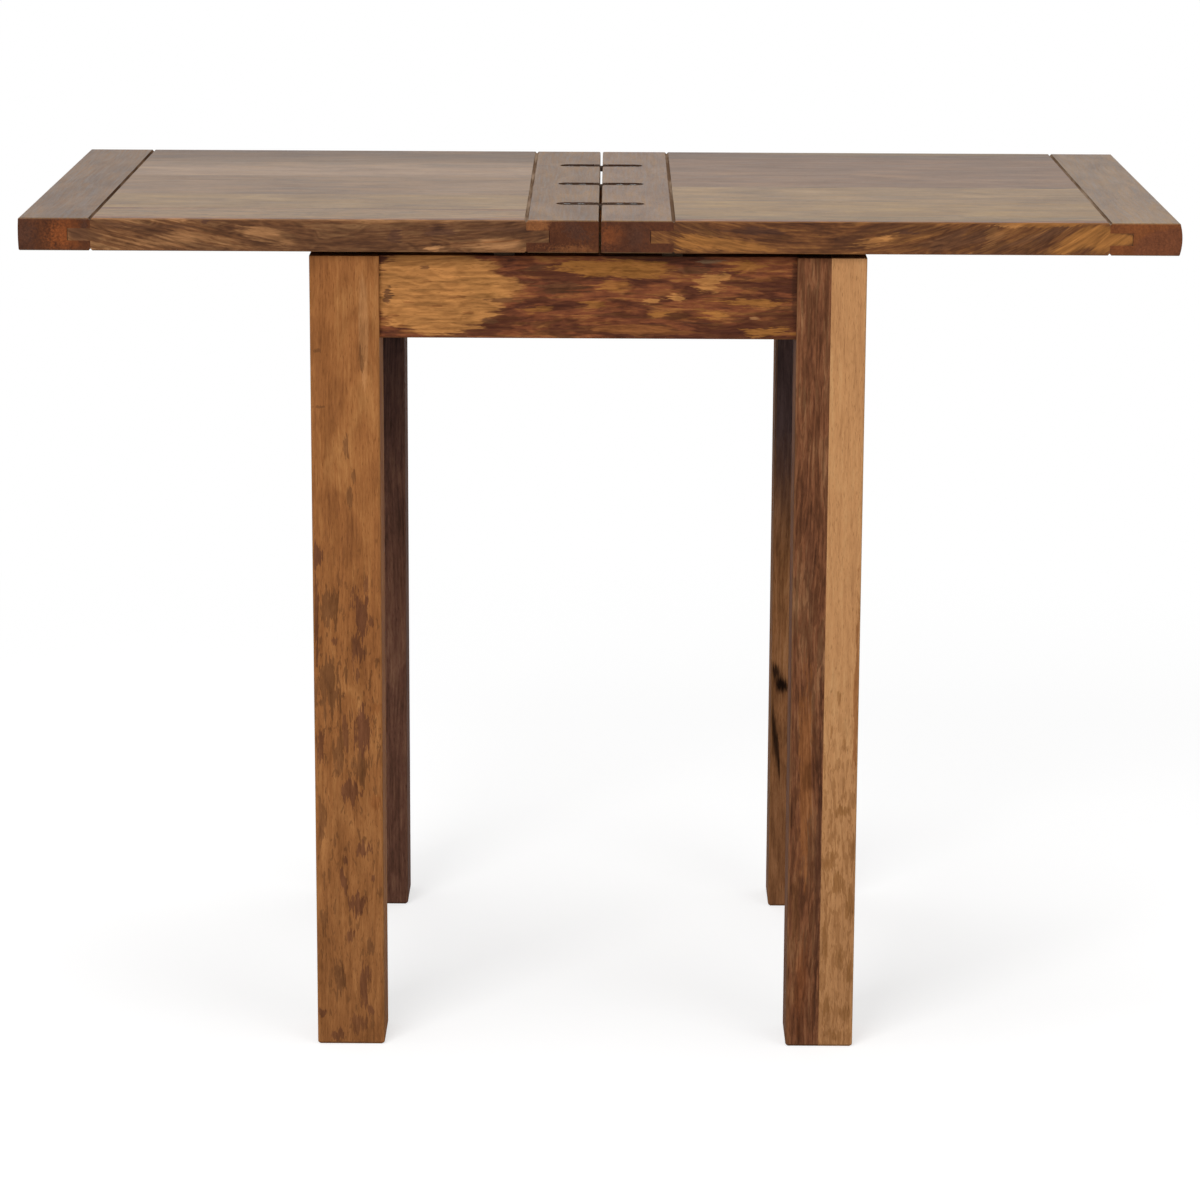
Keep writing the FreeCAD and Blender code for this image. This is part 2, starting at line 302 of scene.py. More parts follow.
@dataclass(frozen=True)
class MangoBoard:
    """Mango wood, planed and sanded, stained brown and sealed with a satin oil and wax.

    It is a golden to dark brown wood with straight pores, wandering growth rings and ragged dark heart
    patches. The stain gathers in end grain, and the thin satin film only shines at a low angle. Its grooves
    are lined apart, with a film of painted shade and dust.
    Each pattern's size is its length along the grain and its width across it, in mm. A bow is where along a
    board the fibres on its long edge turn, in mm, and how fast they rise away from there. A seed moves the
    whole figure by its steps, and the drift is how far slow waves bend the fibres, both in mm. Pores are
    really 0.2 mm wide, and are drawn 0.7 mm wide so that they show.
    """

    name: str
    grain: Grain
    deep: str
    middle: str
    pale: str
    seed: float
    seed_step: Place = (331.0, 57.0, 41.0)
    drift_size: Pair = (210.0, 45.0)
    drift: float = 14.0
    streak_size: Pair = (60.0, 2.2)
    fleck_size: Pair = (26.0, 5.0)
    mottle_size: Pair = (7.0, 1.1)
    pore_size: Pair = (7.0, 0.7)
    pore_tone: str = "#6f5646"
    heart: str = "#3c2216"
    heart_share: float = 0.3
    heart_size: Pair = (150.0, 24.0)
    heart_edge: float = 0.05
    heart_strength: float = 0.5
    pith: Pair = (0.0, 600.0)
    ring_spacing: float = 7.0
    ring_start: float = 0.2
    ring_depth: float = 0.3
    ring_wander: float = 5.0
    ring_swirl: float = 1.0
    swirl_size: Pair = (80.0, 26.0)
    bow: Pair = (0.0, 0.0)
    streak_depth: float = 1.1
    cloud_depth: float = 1.0
    grain_depth: float = 0.5
    spot: str = "#55371f"
    spot_size: Pair = (28.0, 9.0)
    spot_share: float = 0.0
    spot_range: Pair = (-1000.0, -900.0)
    spot_edge: float = 0.025
    spot_strength: float = 0.7
    marks: tuple[Mark, ...] = ()
    end_tone: str = "#2a160e"
    end_strength: float = 0.35
    # The hinge rims are a line of painted shade round the plates' pockets
    hinge_rims: bool = False
    hinge_spacing: float = 143.0
    hinge_centre: float = 31.25
    rim_radius: float = 9.2
    rim_shade_tone: str = "#35251a"
    wear: float = 0.35
    roughness: float = 0.6
    specular: float = 0.05

    def fibres(self, tree: NodeTree, place: Node, size: Pair, detail: float = 2.0,
               distortion: float = 0.0) -> Node:
        """Adds a cloudy pattern that is drawn out along the grain.

        Args:
            tree: the material's tree.
            place: the place in the board in mm, along the grain first.
            size: the pattern's length along the grain and its width across it, in mm.
            detail: how many finer layers it has.
            distortion: how much it curls.

        Returns:
            The noise node: its first output is a number about 0.5, its second a colour.
        """
        long, wide = size
        drawn = add(tree, VECTOR_MATH, (place, (1 / long, 1 / wide, 1 / wide)), operation="MULTIPLY")
        return add(tree, NOISE, {"Vector": drawn, "Scale": 1.0, "Detail": detail, "Roughness": 0.55,
                                 "Distortion": distortion})

    def figure(self, tree: NodeTree, place: NodeSocket) -> Figure:
        """Adds the places and patterns that the board's tones are made from.

        Args:
            tree: the material's tree.
            place: the place on the piece in metres.

        Returns:
            The places, along the grain first, and the patterns, bent a little as the fibres are.
        """
        normal = place.node.outputs["Normal"]
        here = add(tree, VECTOR_MATH, (place, 1 / MM), operation="SCALE")
        split = add(tree, SEPARATE, (here,))
        order = self.grain.value
        straight = add(tree, COMBINE, tuple(split.outputs[axis] for axis in order))
        offset = tuple(self.seed * step for step in self.seed_step)
        shifted = add(tree, VECTOR_MATH, (straight, offset), operation="ADD")
        facing = add(tree, SEPARATE, (normal,))
        if self.bow[1]:
            run = add(tree, MATH, (split.outputs[order[0]], self.bow[0]), operation="SUBTRACT")
            rise = add(tree, MATH, (run, run), operation="MULTIPLY")
            rise = add(tree, MATH, (rise, facing.outputs[1]), operation="MULTIPLY")
            lift = add(tree, COMBINE, {2: rise})
            shifted = add(tree, VECTOR_MATH, (lift, (self.bow[1],) * 3, shifted), operation="MULTIPLY_ADD")
        drift = self.fibres(tree, shifted, self.drift_size, 1.0)
        bend = add(tree, VECTOR_MATH, (drift.outputs[1], (0.0, self.drift, self.drift), shifted),
                   operation="MULTIPLY_ADD")
        return Figure(here, split, straight, normal, facing, drift, bend,
                      swirl=self.fibres(tree, shifted, self.swirl_size, 2.0, 0.6),
                      streak=self.fibres(tree, bend, self.streak_size, 3.0),
                      fleck=self.fibres(tree, bend, self.fleck_size, 3.0, 0.4),
                      mottle=self.fibres(tree, bend, self.mottle_size))

    def rings_and_pores(self, tree: NodeTree, figure: Figure) -> Node:
        """Adds the growth rings, bands round the pith that wander and swirl, and the pores.

        Args:
            tree: the material's tree.
            figure: the board's places and patterns.

        Returns:
            How much they darken what they cross.
        """
        centre = (0.0, -self.pith[0], -self.pith[1])
        from_pith = add(tree, VECTOR_MATH, (figure.straight, (0.0, 1.0, 1.0), centre), operation="MULTIPLY_ADD")
        distance = add(tree, VECTOR_MATH, (from_pith,), operation="LENGTH")
        count = add(tree, MATH, (distance, self.ring_spacing), operation="DIVIDE")
        wander = add(tree, MATH, (figure.drift, 2 * self.ring_wander, count), operation="MULTIPLY_ADD")
        curl = add(tree, MATH, (figure.swirl, 4 * self.ring_swirl, wander), operation="MULTIPLY_ADD")
        band = add(tree, MATH, (curl, 0.5), operation="PINGPONG")
        line = add(tree, RANGE, (band, self.ring_start, 0.5), **SMOOTH)
        shown = add(tree, RANGE, (figure.fleck, 0.3, 0.62, 0.0, self.ring_depth), **SMOOTH)
        ring = add(tree, MATH, (line, shown), operation="MULTIPLY")
        pore = self.fibres(tree, figure.bend, self.pore_size, 1.0)
        pores = add(tree, RANGE, (pore, 0.6, 0.72, 0.0, 0.4), **SMOOTH)
        return add(tree, MATH, (ring, pores), operation="MAXIMUM")

    def ground(self, tree: NodeTree, figure: Figure) -> tuple[Node, Node]:
        """Adds the ground tone, fine mottling and streaks on slow clouds, with ragged heart patches.

        Args:
            tree: the material's tree.
            figure: the board's places and patterns.

        Returns:
            The colour, and how light it is: every added tone keeps the ground's streaks and clouds by it.
        """
        tone = 0.5 - (self.cloud_depth + self.streak_depth + self.grain_depth) / 2
        for pattern, depth in ((figure.swirl, self.cloud_depth), (figure.streak, self.streak_depth),
                               (figure.mottle, self.grain_depth)):
            tone = add(tree, MATH, (pattern, depth, tone), operation="MULTIPLY_ADD")
        low = add(tree, RANGE, (tone, 0.15, 0.5))
        high = add(tree, RANGE, (tone, 0.5, 0.85))
        colour = add(tree, MIX, (low, self.deep, self.middle), **COLOUR)
        colour = add(tree, MIX, (high, colour, self.pale), **COLOUR)
        ragged = self.fibres(tree, figure.bend, self.heart_size, 4.0, 0.7)
        for pattern in (figure.streak, figure.fleck):
            ragged = add(tree, MATH, (pattern, 0.22, ragged), operation="MULTIPLY_ADD")
        limit = 0.72 + (0.5 - self.heart_share) * 0.30
        heart = add(tree, RANGE, (ragged, limit - self.heart_edge, limit + self.heart_edge, 0.0,
                                  self.heart_strength), **SMOOTH)
        colour = add(tree, MIX, (heart, colour, self.heart), **COLOUR)
        return colour, add(tree, RANGE, (tone, 0.15, 0.85, 0.6, 1.4))

    def soak_ends(self, tree: NodeTree, figure: Figure, colour: Node, shade: Node) -> Node:
        """Darkens the end grain, which drinks more stain.

        Args:
            tree: the material's tree.
            figure: the board's places and patterns.
            colour: the colour so far.
            shade: how light the ground is.

        Returns:
            The new colour.
        """
        end_on = add(tree, MATH, (figure.facing.outputs[self.grain.value[0]],), operation="ABSOLUTE")
        end = add(tree, RANGE, (end_on, 0.6, 0.95, 0.0, self.end_strength), **SMOOTH)
        soaked = add(tree, VECTOR_MATH, (linear(self.end_tone)[:3], shade), operation="SCALE")
        return add(tree, MIX, (end, colour, soaked), **COLOUR)

    def add_spots(self, tree: NodeTree, figure: Figure, colour: Node) -> Node:
        """Adds the spots along part of the board.

        Args:
            tree: the material's tree.
            figure: the board's places and patterns.
            colour: the colour so far.

        Returns:
            The new colour.
        """
        spotty = self.fibres(tree, figure.bend, self.spot_size, 3.0, 0.5)
        limit = 0.5 + (0.5 - self.spot_share) * 0.27
        spots = add(tree, RANGE, (spotty, limit - self.spot_edge, limit + self.spot_edge, 0.0,
                                  self.spot_strength), **SMOOTH)
        along = figure.split.outputs[self.grain.value[0]]
        where = add(tree, RANGE, (along, *self.spot_range, 1.0, 0.0), **SMOOTH)
        spots = add(tree, MATH, (spots, where), operation="MULTIPLY")
        return add(tree, MIX, (spots, colour, self.spot), **COLOUR)

    def add_marks(self, tree: NodeTree, figure: Figure, colour: Node, shade: Node) -> Node:
        """Adds the single marks, with edges that follow the fibres.

        Args:
            tree: the material's tree.
            figure: the board's places and patterns.
            colour: the colour so far.
            shade: how light the ground is.

        Returns:
            The new colour.
        """
        torn = add(tree, VECTOR_MATH, (figure.fleck.outputs[1], (0.5, 0.5, 0.5)), operation="SUBTRACT")
        for pattern, share in ((figure.streak, 1.2), (figure.mottle, 0.7)):
            finer = add(tree, VECTOR_MATH, (pattern.outputs[1], (share,) * 3, (-share / 2,) * 3),
                        operation="MULTIPLY_ADD")
            torn = add(tree, VECTOR_MATH, (torn, finer), operation="ADD")
        for mark in self.marks:
            lean = (0.0, math.radians(mark.lean), 0.0)
            turned = add(tree, "ShaderNodeMapping", {"Vector": figure.here, "Location": mark.centre,
                                                     "Rotation": lean, "Scale": mark.reach},
                         vector_type="TEXTURE")
            edge = add(tree, VECTOR_MATH, (torn, (3 * mark.ragged,) * 3, turned), operation="MULTIPLY_ADD")
            away = add(tree, VECTOR_MATH, (edge,), operation="LENGTH")
            cover = add(tree, RANGE, (away, 1 - mark.softness, 1.0, mark.strength, 0.0), **SMOOTH)
            shaded = add(tree, VECTOR_MATH, (linear(mark.tone)[:3], shade), operation="SCALE")
            colour = add(tree, MIX, (cover, colour, shaded), **COLOUR)
        return colour

    def pale_arrises_worn_and_lit(self, tree: NodeTree, figure: Figure, colour: Node) -> Node:
        """Makes the arrises paler, where a face turns into the next: partly wear, partly a painted highlight
        where the rounded edge catches light.

        Args:
            tree: the material's tree.
            figure: the board's places and patterns.
            colour: the colour so far.

        Returns:
            The new colour.
        """
        sides = add(tree, VECTOR_MATH, (figure.normal,), operation="ABSOLUTE")
        x, y, z = add(tree, SEPARATE, (sides,)).outputs
        others = add(tree, COMBINE, (y, z, x))
        turn = add(tree, VECTOR_MATH, (sides, others), operation="DOT_PRODUCT")
        # Painted highlight and wear: the arrises turn towards the pale tone
        rubbed = add(tree, RANGE, (turn, 0.15, 0.45, 0.0, self.wear), **SMOOTH)
        return add(tree, MIX, (rubbed, colour, self.pale), **COLOUR)

    def paint_hinge_rim_shade(self, tree: NodeTree, figure: Figure, colour: Node) -> Node:
        """Paints a dark line of shade round each hinge plate, where its pocket's wall lies in shade, thickest
        behind it.

        Args:
            tree: the material's tree.
            figure: the board's places and patterns.
            colour: the colour so far.

        Returns:
            The new colour.
        """
        x, y = figure.split.outputs[:2]
        wide = add(tree, MATH, (x,), operation="ABSOLUTE")
        past = add(tree, MATH, (wide, self.hinge_centre), operation="SUBTRACT")
        past = add(tree, MATH, (past, 0.0), operation="MAXIMUM")
        row = add(tree, MATH, (y, self.hinge_spacing / 2, -self.hinge_spacing / 2), operation="WRAP")
        reach = add(tree, VECTOR_MATH, (add(tree, COMBINE, (past, row)),), operation="LENGTH")
        rim_shade_start = add(tree, MATH, (figure.fleck, 2.4, self.rim_radius - 0.2), operation="MULTIPLY_ADD")
        rim = add(tree, RANGE, (reach, rim_shade_start, self.rim_radius))
        # Painted shade: strongest behind each plate, fainter in the front row, broken up by the mottle
        for share in ((row, -6.0, 6.0, 0.3, 1.0), (figure.mottle, 0.4, 0.55, 0.35, 1.0),
                      (y, -self.hinge_spacing, 0.0, 0.45, 1.0)):
            rim = add(tree, MATH, (rim, add(tree, RANGE, share)), operation="MULTIPLY")
        return add(tree, MIX, (rim, colour, self.rim_shade_tone), **COLOUR)

    def build(self) -> Material:
        """Builds the board's material.

        Returns:
            The material.
        """
        material, tree, place = start_material(self.name)
        figure = self.figure(tree, place)
        colour, shade = self.ground(tree, figure)
        colour = self.soak_ends(tree, figure, colour, shade)
        if self.spot_share:
            colour = self.add_spots(tree, figure, colour)
        if self.marks:
            colour = self.add_marks(tree, figure, colour, shade)
        colour = self.pale_arrises_worn_and_lit(tree, figure, colour)
        dark = self.rings_and_pores(tree, figure)
        colour = add(tree, MIX, (dark, colour, self.pore_tone), blend_type="MULTIPLY", **COLOUR)
        if self.hinge_rims:
            colour = self.paint_hinge_rim_shade(tree, figure, colour)

        # The satin film follows the pores and fibres
        gloss = add(tree, RANGE, (figure.streak, 0.3, 0.7, self.roughness - 0.05, self.roughness + 0.07))
        relief = add(tree, MATH, (figure.streak, dark), operation="SUBTRACT")
        bump = add(tree, BUMP, {"Strength": 0.3, "Distance": 0.0004, "Height": relief})
        return end_material(material, {"Base Color": colour, "Roughness": gloss, "Normal": bump, "IOR": 1.45,
                                       "Specular IOR Level": self.specular})


@dataclass(frozen=True)
class GrooveShadeFilm:
    """Painted groove shade with dusty patches, on a film in a groove: dead matt, so it never shines. Its darker
    tones are painted shade.
    """

    name: str
    stain: str
    dust: str
    patch: Place = (9.0, 70.0, 9.0)

    def build(self) -> Material:
        """Builds the film's material, painted shade with dust.

        Returns:
            The material.
        """
        material, tree, place = start_material(self.name)
        drawn = add(tree, VECTOR_MATH, (place, tuple(1000 / size for size in self.patch)), operation="MULTIPLY")
        patches = add(tree, NOISE, {"Vector": drawn, "Scale": 1.0, "Detail": 3.0})
        dusty = add(tree, RANGE, (patches, 0.38, 0.66), **SMOOTH)
        colour = add(tree, MIX, (dusty, self.stain, self.dust), **COLOUR)
        bump = add(tree, BUMP, {"Strength": 0.4, "Distance": 0.0003, "Height": patches})
        return end_material(material, {"Base Color": colour, "Normal": bump, "Roughness": 0.95,
                                       "Specular IOR Level": 0.0})


@dataclass(frozen=True)
class WornMetal:
    """Steel hardware with a plated or browned face that is rubbed brighter in places and a little pitted.

    The brush lines of the rolled strip are really about 0.1 mm apart, drawn at 0.4 mm so that they show.
    """

    name: str
    face: str
    tarnish: str
    roughness: float
    patch: float = 12.0
    edge: str = "#ffffff"
    brush: Place = (90.0, 2500.0, 900.0)

    def build(self) -> Material:
        """Builds the metal's material.

        Returns:
            The material.
        """
        material, tree, place = start_material(self.name)
        patches = add(tree, NOISE, {"Vector": place, "Scale": 1000 / self.patch, "Detail": 4.0})
        worn = add(tree, RANGE, (patches, 0.32, 0.7), **SMOOTH)
        colour = add(tree, MIX, (worn, self.face, self.tarnish), **COLOUR)
        drawn = add(tree, VECTOR_MATH, (place, self.brush), operation="MULTIPLY")
        brushed = add(tree, NOISE, {"Vector": drawn, "Scale": 1.0, "Detail": 2.0})
        gloss = add(tree, RANGE, (patches, 0.35, 0.7, self.roughness - 0.06, self.roughness + 0.14))
        bump = add(tree, BUMP, {"Strength": 0.2, "Distance": 0.0001, "Height": brushed})
        return end_material(material, {"Base Color": colour, "Roughness": gloss, "Normal": bump,
                                       "Metallic": 1.0, "Specular Tint": self.edge})


@dataclass(frozen=True)
class PressedFelt:
    """Wool felt, pressed in sheets and cut square: matt, with short fibres that catch light at the rim.

    Its fibres are about 0.02 mm thick, and their tufts, about 0.8 mm apart, are what shows.
    """

    name: str
    fibre: str
    shade: str
    tuft: float = 0.8

    def build(self) -> Material:
        """Builds the felt's material.

        Returns:
            The material.
        """
        material, tree, place = start_material(self.name)
        tufts = add(tree, NOISE, {"Vector": place, "Scale": 1000 / self.tuft, "Detail": 5.0, "Roughness": 0.7,
                                  "Distortion": 1.5})
        colour = add(tree, MIX, (tufts, self.shade, self.fibre), **COLOUR)
        bump = add(tree, BUMP, {"Strength": 0.6, "Distance": 0.0004, "Height": tufts})
        return end_material(material, {"Base Color": colour, "Normal": bump, "Roughness": 0.95,
                                       "Specular IOR Level": 0.2, "Sheen Weight": 0.15, "Sheen Roughness": 0.6})


@dataclass(frozen=True)
class SlipNylon:
    """Punched nylon sheet: even white plastic with a soft shine, scuffed in arcs where the plate rubs it."""

    name: str
    face: str
    scuff: str
    centre: Pair

    def build(self) -> Material:
        """Builds the plastic's material.

        Returns:
            The material.
        """
        material, tree, place = start_material(self.name)
        centred = add(tree, VECTOR_MATH, (place, (*self.centre, 0.0)), operation="SUBTRACT")
        flat = add(tree, VECTOR_MATH, (centred, (1.0, 1.0, 0.0)), operation="MULTIPLY")
        radius = add(tree, VECTOR_MATH, (flat,), operation="LENGTH")
        patches = add(tree, NOISE, {"Vector": place, "Scale": 60.0})
        wobble = add(tree, MATH, (patches, 0.004, radius), operation="MULTIPLY_ADD")
        arcs = add(tree, NOISE, {"W": wobble, "Scale": 900.0, "Detail": 2.0}, noise_dimensions="1D")
        rubbed = add(tree, RANGE, (arcs, 0.52, 0.7))
        colour = add(tree, MIX, (rubbed, self.face, self.scuff), **COLOUR)
        gloss = add(tree, RANGE, (rubbed, 0.0, 1.0, 0.38, 0.6))
        bump = add(tree, BUMP, {"Strength": 0.2, "Distance": 0.0001, "Height": arcs})
        return end_material(material, {"Base Color": colour, "Roughness": gloss, "Normal": bump, "IOR": 1.53})


# How much a screw's head narrows to its top and how high in it the recess is cut, as shares, and its tip in mm
HEAD_TAPER = 0.9
RECESS_LEVEL = 0.6
TIP_RADIUS = 0.2


class Fastener(Enum):
    """The kinds of small fastener."""

    SCREW = "countersunk_screw"
    BOLT = "bolt_end_with_nut"


@dataclass(frozen=True)
class FastenerSet:
    """Small fasteners of one kind on one body, placed by a Geometry Nodes tree. Sizes are in mm."""

    name: str
    body: str
    places: tuple[Place, ...]
    facings: tuple[Place, ...]
    head_radius: float
    head_height: float
    shank_radius: float
    shank_length: float
    slot: str = "steel"
    kind: Fastener = Fastener.SCREW
    recess_length: float = 0.0
    recess_width: float = 0.0
    washer_radius: float = 0.0
    washer_height: float = 0.0

    def inputs(self) -> dict[str, float]:
        """Returns the sizes as the tree's named inputs, in mm."""
        sizes = [field.name for field in fields(self) if field.type is float]
        return {size.replace("_", " ").title(): getattr(self, size) for size in sizes}

    def screw(self, tree: NodeTree, start: Node) -> Node:
        """Adds a screw with a crossed recess, its seat at the origin and its head towards +Z.

        Args:
            tree: the geometry tree.
            start: its input node.

        Returns:
            The node of the screw's mesh.
        """
        size = start.outputs
        rim = add(tree, MATH, (size["Head Radius"], HEAD_TAPER), operation="MULTIPLY")
        cut = add(tree, "GeometryNodeMeshCone", {
            "Vertices": 32, "Side Segments": 1, "Radius Top": rim, "Radius Bottom": size["Head Radius"],
            "Depth": size["Head Height"]})
        deep = add(tree, MATH, (size["Head Height"], RECESS_LEVEL), operation="MULTIPLY")
        lift = add(tree, COMBINE, {2: deep})
        for long, wide in ((0, 1), (1, 0)):
            arm = add(tree, COMBINE, {long: size["Recess Length"], wide: size["Recess Width"],
                                      2: size["Head Height"]})
            block = add(tree, "GeometryNodeMeshCube", {"Size": arm})
            slot = add(tree, TRANSFORM, {"Geometry": block, "Translation": lift})
            cut = add(tree, "GeometryNodeMeshBoolean", {"Mesh 1": cut, "Mesh 2": slot}, operation="DIFFERENCE")
        shank = add(tree, "GeometryNodeMeshCone", {
            "Vertices": 16, "Radius Top": size["Shank Radius"], "Radius Bottom": TIP_RADIUS * MM,
            "Depth": size["Shank Length"]})
        drop = add(tree, MATH, (size["Shank Length"], -1.0), operation="MULTIPLY")
        down = add(tree, COMBINE, {2: drop})
        joined = add(tree, "GeometryNodeJoinGeometry", {0: cut})
        feed(tree, joined, {0: add(tree, TRANSFORM, {"Geometry": shank, "Translation": down})})
        return joined

    def bolt(self, tree: NodeTree, start: Node) -> Node:
        """Adds a threaded end with its washer and nut, the washer's seat at the origin and the end towards +Z.

        Args:
            tree: the geometry tree.
            start: its input node.

        Returns:
            The node of the bolt end's mesh.
        """
        joined = add(tree, "GeometryNodeJoinGeometry")
        lift = 0.0
        for part, length, sides in (("Washer", "Height", 40), ("Head", "Height", 6), ("Shank", "Length", 24)):
            radius, height = (start.outputs[f"{part} {size}"] for size in ("Radius", length))
            solid = add(tree, "GeometryNodeMeshCylinder",
                        {"Vertices": sides, "Radius": radius, "Depth": height})
            middle = add(tree, MATH, (height, 0.5, lift), operation="MULTIPLY_ADD")
            up = add(tree, COMBINE, {2: middle})
            feed(tree, joined, {0: add(tree, TRANSFORM, {"Geometry": solid, "Translation": up})})
            lift = add(tree, MATH, (height, lift), operation="ADD")
        return joined

    def tree(self) -> NodeTree:
        """Builds the tree that puts one fastener on each point of the object's mesh.

        Returns:
            The geometry tree.
        """
        tree, start = start_tree(self.kind.value, tuple(self.inputs()))
        solid = self.screw(tree, start) if self.kind is Fastener.SCREW else self.bolt(tree, start)
        facing = add(tree, "GeometryNodeInputNamedAttribute", {"Name": "facing"}, data_type="FLOAT_VECTOR")
        turn = add(tree, "FunctionNodeAlignRotationToVector", {"Vector": facing}, axis="Z")
        placed = add(tree, "GeometryNodeInstanceOnPoints",
                     {"Points": start.outputs["Geometry"], "Instance": solid, "Rotation": turn})
        end_tree(tree, start, placed)
        return tree

    def make(self, finish: Material) -> None:
        """Makes the fasteners as one plain mesh that rides on its body.

        Args:
            finish: the material.
        """
        mesh = bpy.data.meshes.new(self.name)
        mesh.from_pydata([tuple(value * MM for value in place) for place in self.places], [], [])
        attribute = mesh.attributes.new("facing", "FLOAT_VECTOR", "POINT")
        for number, facing in enumerate(self.facings):
            attribute.data[number].vector = facing
        piece = settle(self.name, mesh, self.tree(), self.inputs(), finish)
        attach(piece, self.body)


@dataclass(frozen=True)
class SunkPlates:
    """The three hinge plates of one leaf, let in a little below its face so that their pockets' rims show.

    Sizes are in mm.
    """

    leaf: str
    side: int
    body: str
    sunk: float = 0.4
    last_sunk: float = 1.2
    knuckle: float = 7.0
    reach: float = 50.0
    width: float = 20.0
    height: float = 8.0

    def row_drop(self) -> float:
        """Returns how much deeper each row lies than the one in front of it."""
        return (self.last_sunk - self.sunk) / 2

    def make(self, finish: Material) -> None:
        """Makes the plates from the CAD's, with the part behind the knuckle cut down by a block for each row.

        Args:
            finish: the material.
        """
        name = f"{self.leaf}_hinge_plates"
        nodes = [f"{self.leaf}_hinge_plate_{row}" for row in ROWS]
        form = bmesh.new()
        for node in nodes:
            form.from_mesh(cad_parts[node].data)
        bmesh.ops.remove_doubles(form, verts=form.verts, dist=1e-6)
        mesh = bpy.data.meshes.new(name)
        form.to_mesh(mesh)
        form.free()

        tree, start = start_tree("sunk_plates", ("Sunk", "Top", "Row Spacing", "Row Drop"))
        size = start.outputs
        first, last = (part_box(node) for node in (nodes[0], nodes[-1]))
        drop = add(tree, MATH, (size["Row Drop"], -1.0), operation="MULTIPLY")
        step = add(tree, COMBINE, {1: size["Row Spacing"], 2: drop})
        rows = add(tree, "GeometryNodeMeshLine", {
            "Count": len(nodes), "Start Location": (0.0, (first[0].y + first[1].y) / 2, 0.0), "Offset": step})
        sizes = tuple(value * MM for value in (self.reach, self.width, self.height))
        block = add(tree, "GeometryNodeMeshCube", {"Size": sizes})
        level = add(tree, MATH, (size["Top"], size["Sunk"]), operation="SUBTRACT")
        level = add(tree, MATH, (level, self.height / 2 * MM), operation="ADD")
        lift = add(tree, COMBINE, {0: self.side * (self.knuckle + self.reach / 2) * MM, 2: level})
        placed = add(tree, TRANSFORM, {"Geometry": block, "Translation": lift})
        cutters = add(tree, "GeometryNodeInstanceOnPoints", {"Points": rows, "Instance": placed})
        solid = add(tree, "GeometryNodeRealizeInstances", (cutters,))
        cut = add(tree, "GeometryNodeMeshBoolean", {"Mesh 1": size["Geometry"], "Mesh 2": solid},
                  operation="DIFFERENCE")
        end_tree(tree, start, cut)

        spacing = (last[0].y - first[0].y) / (len(nodes) - 1) / MM
        piece = settle(name, mesh, tree, {"Sunk": self.sunk, "Top": first[1].z / MM, "Row Spacing": spacing,
                                          "Row Drop": self.row_drop()}, finish)
        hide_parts(*nodes)
        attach(piece, self.body)


@dataclass(frozen=True)
class GrooveLining:
    """The film of painted shade and dust on the walls of one groove of a leaf, above and below. Sizes are in
    mm.
    """

    body: str
    place: float
    levels: Pair = (770.95, 742.05)
    half_length: float = 256.8
    width: float = 3.34
    floor: float = 1.9
    root: float = 2.4
    step: float = 4.0

    def make(self, name: str, finish: Material) -> None:
        """Makes the film along its groove.

        Args:
            name: the piece's name.
            finish: the material.
        """
        points = [(self.place * MM, y * self.half_length * MM, level * MM)
                  for level in self.levels for y in (-1, 1)]
        mesh = bpy.data.meshes.new(name)
        mesh.from_pydata(points, [(0, 1), (2, 3)], [])

        sizes = {"Width": self.width, "Floor": self.floor, "Root": self.root, "Step": self.step}
        tree, start = start_tree("groove_lining", tuple(sizes))
        size = start.outputs
        path = add(tree, "GeometryNodeMeshToCurve", {"Mesh": size["Geometry"]})
        even = add(tree, "GeometryNodeResampleCurve", {"Curve": path, "Length": size["Step"]}, mode="LENGTH")
        upright = add(tree, "GeometryNodeSetCurveNormal", {"Curve": even}, mode="Z_UP")
        height = add(tree, SEPARATE, (add(tree, "GeometryNodeInputPosition"),))
        above = add(tree, "FunctionNodeCompare", {0: height.outputs[2], 1: sum(self.levels) / 2 * MM},
                    data_type="FLOAT", operation="GREATER_THAN")
        turned = add(tree, "GeometryNodeSetCurveTilt", {"Curve": upright, "Selection": above, "Tilt": math.pi})
        deep = add(tree, MATH, (size["Floor"], -1.0), operation="MULTIPLY")
        section = add(tree, "GeometryNodeCurvePrimitiveQuadrilateral",
                      {"Width": size["Width"], "Bottom Height": size["Root"], "Top Height": deep}, mode="KITE")
        film = add(tree, "GeometryNodeCurveToMesh",
                   {"Curve": turned, "Profile Curve": section, "Fill Caps": True})
        end_tree(tree, start, film)

        piece = settle(name, mesh, tree, sizes, finish)
        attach(piece, self.body)


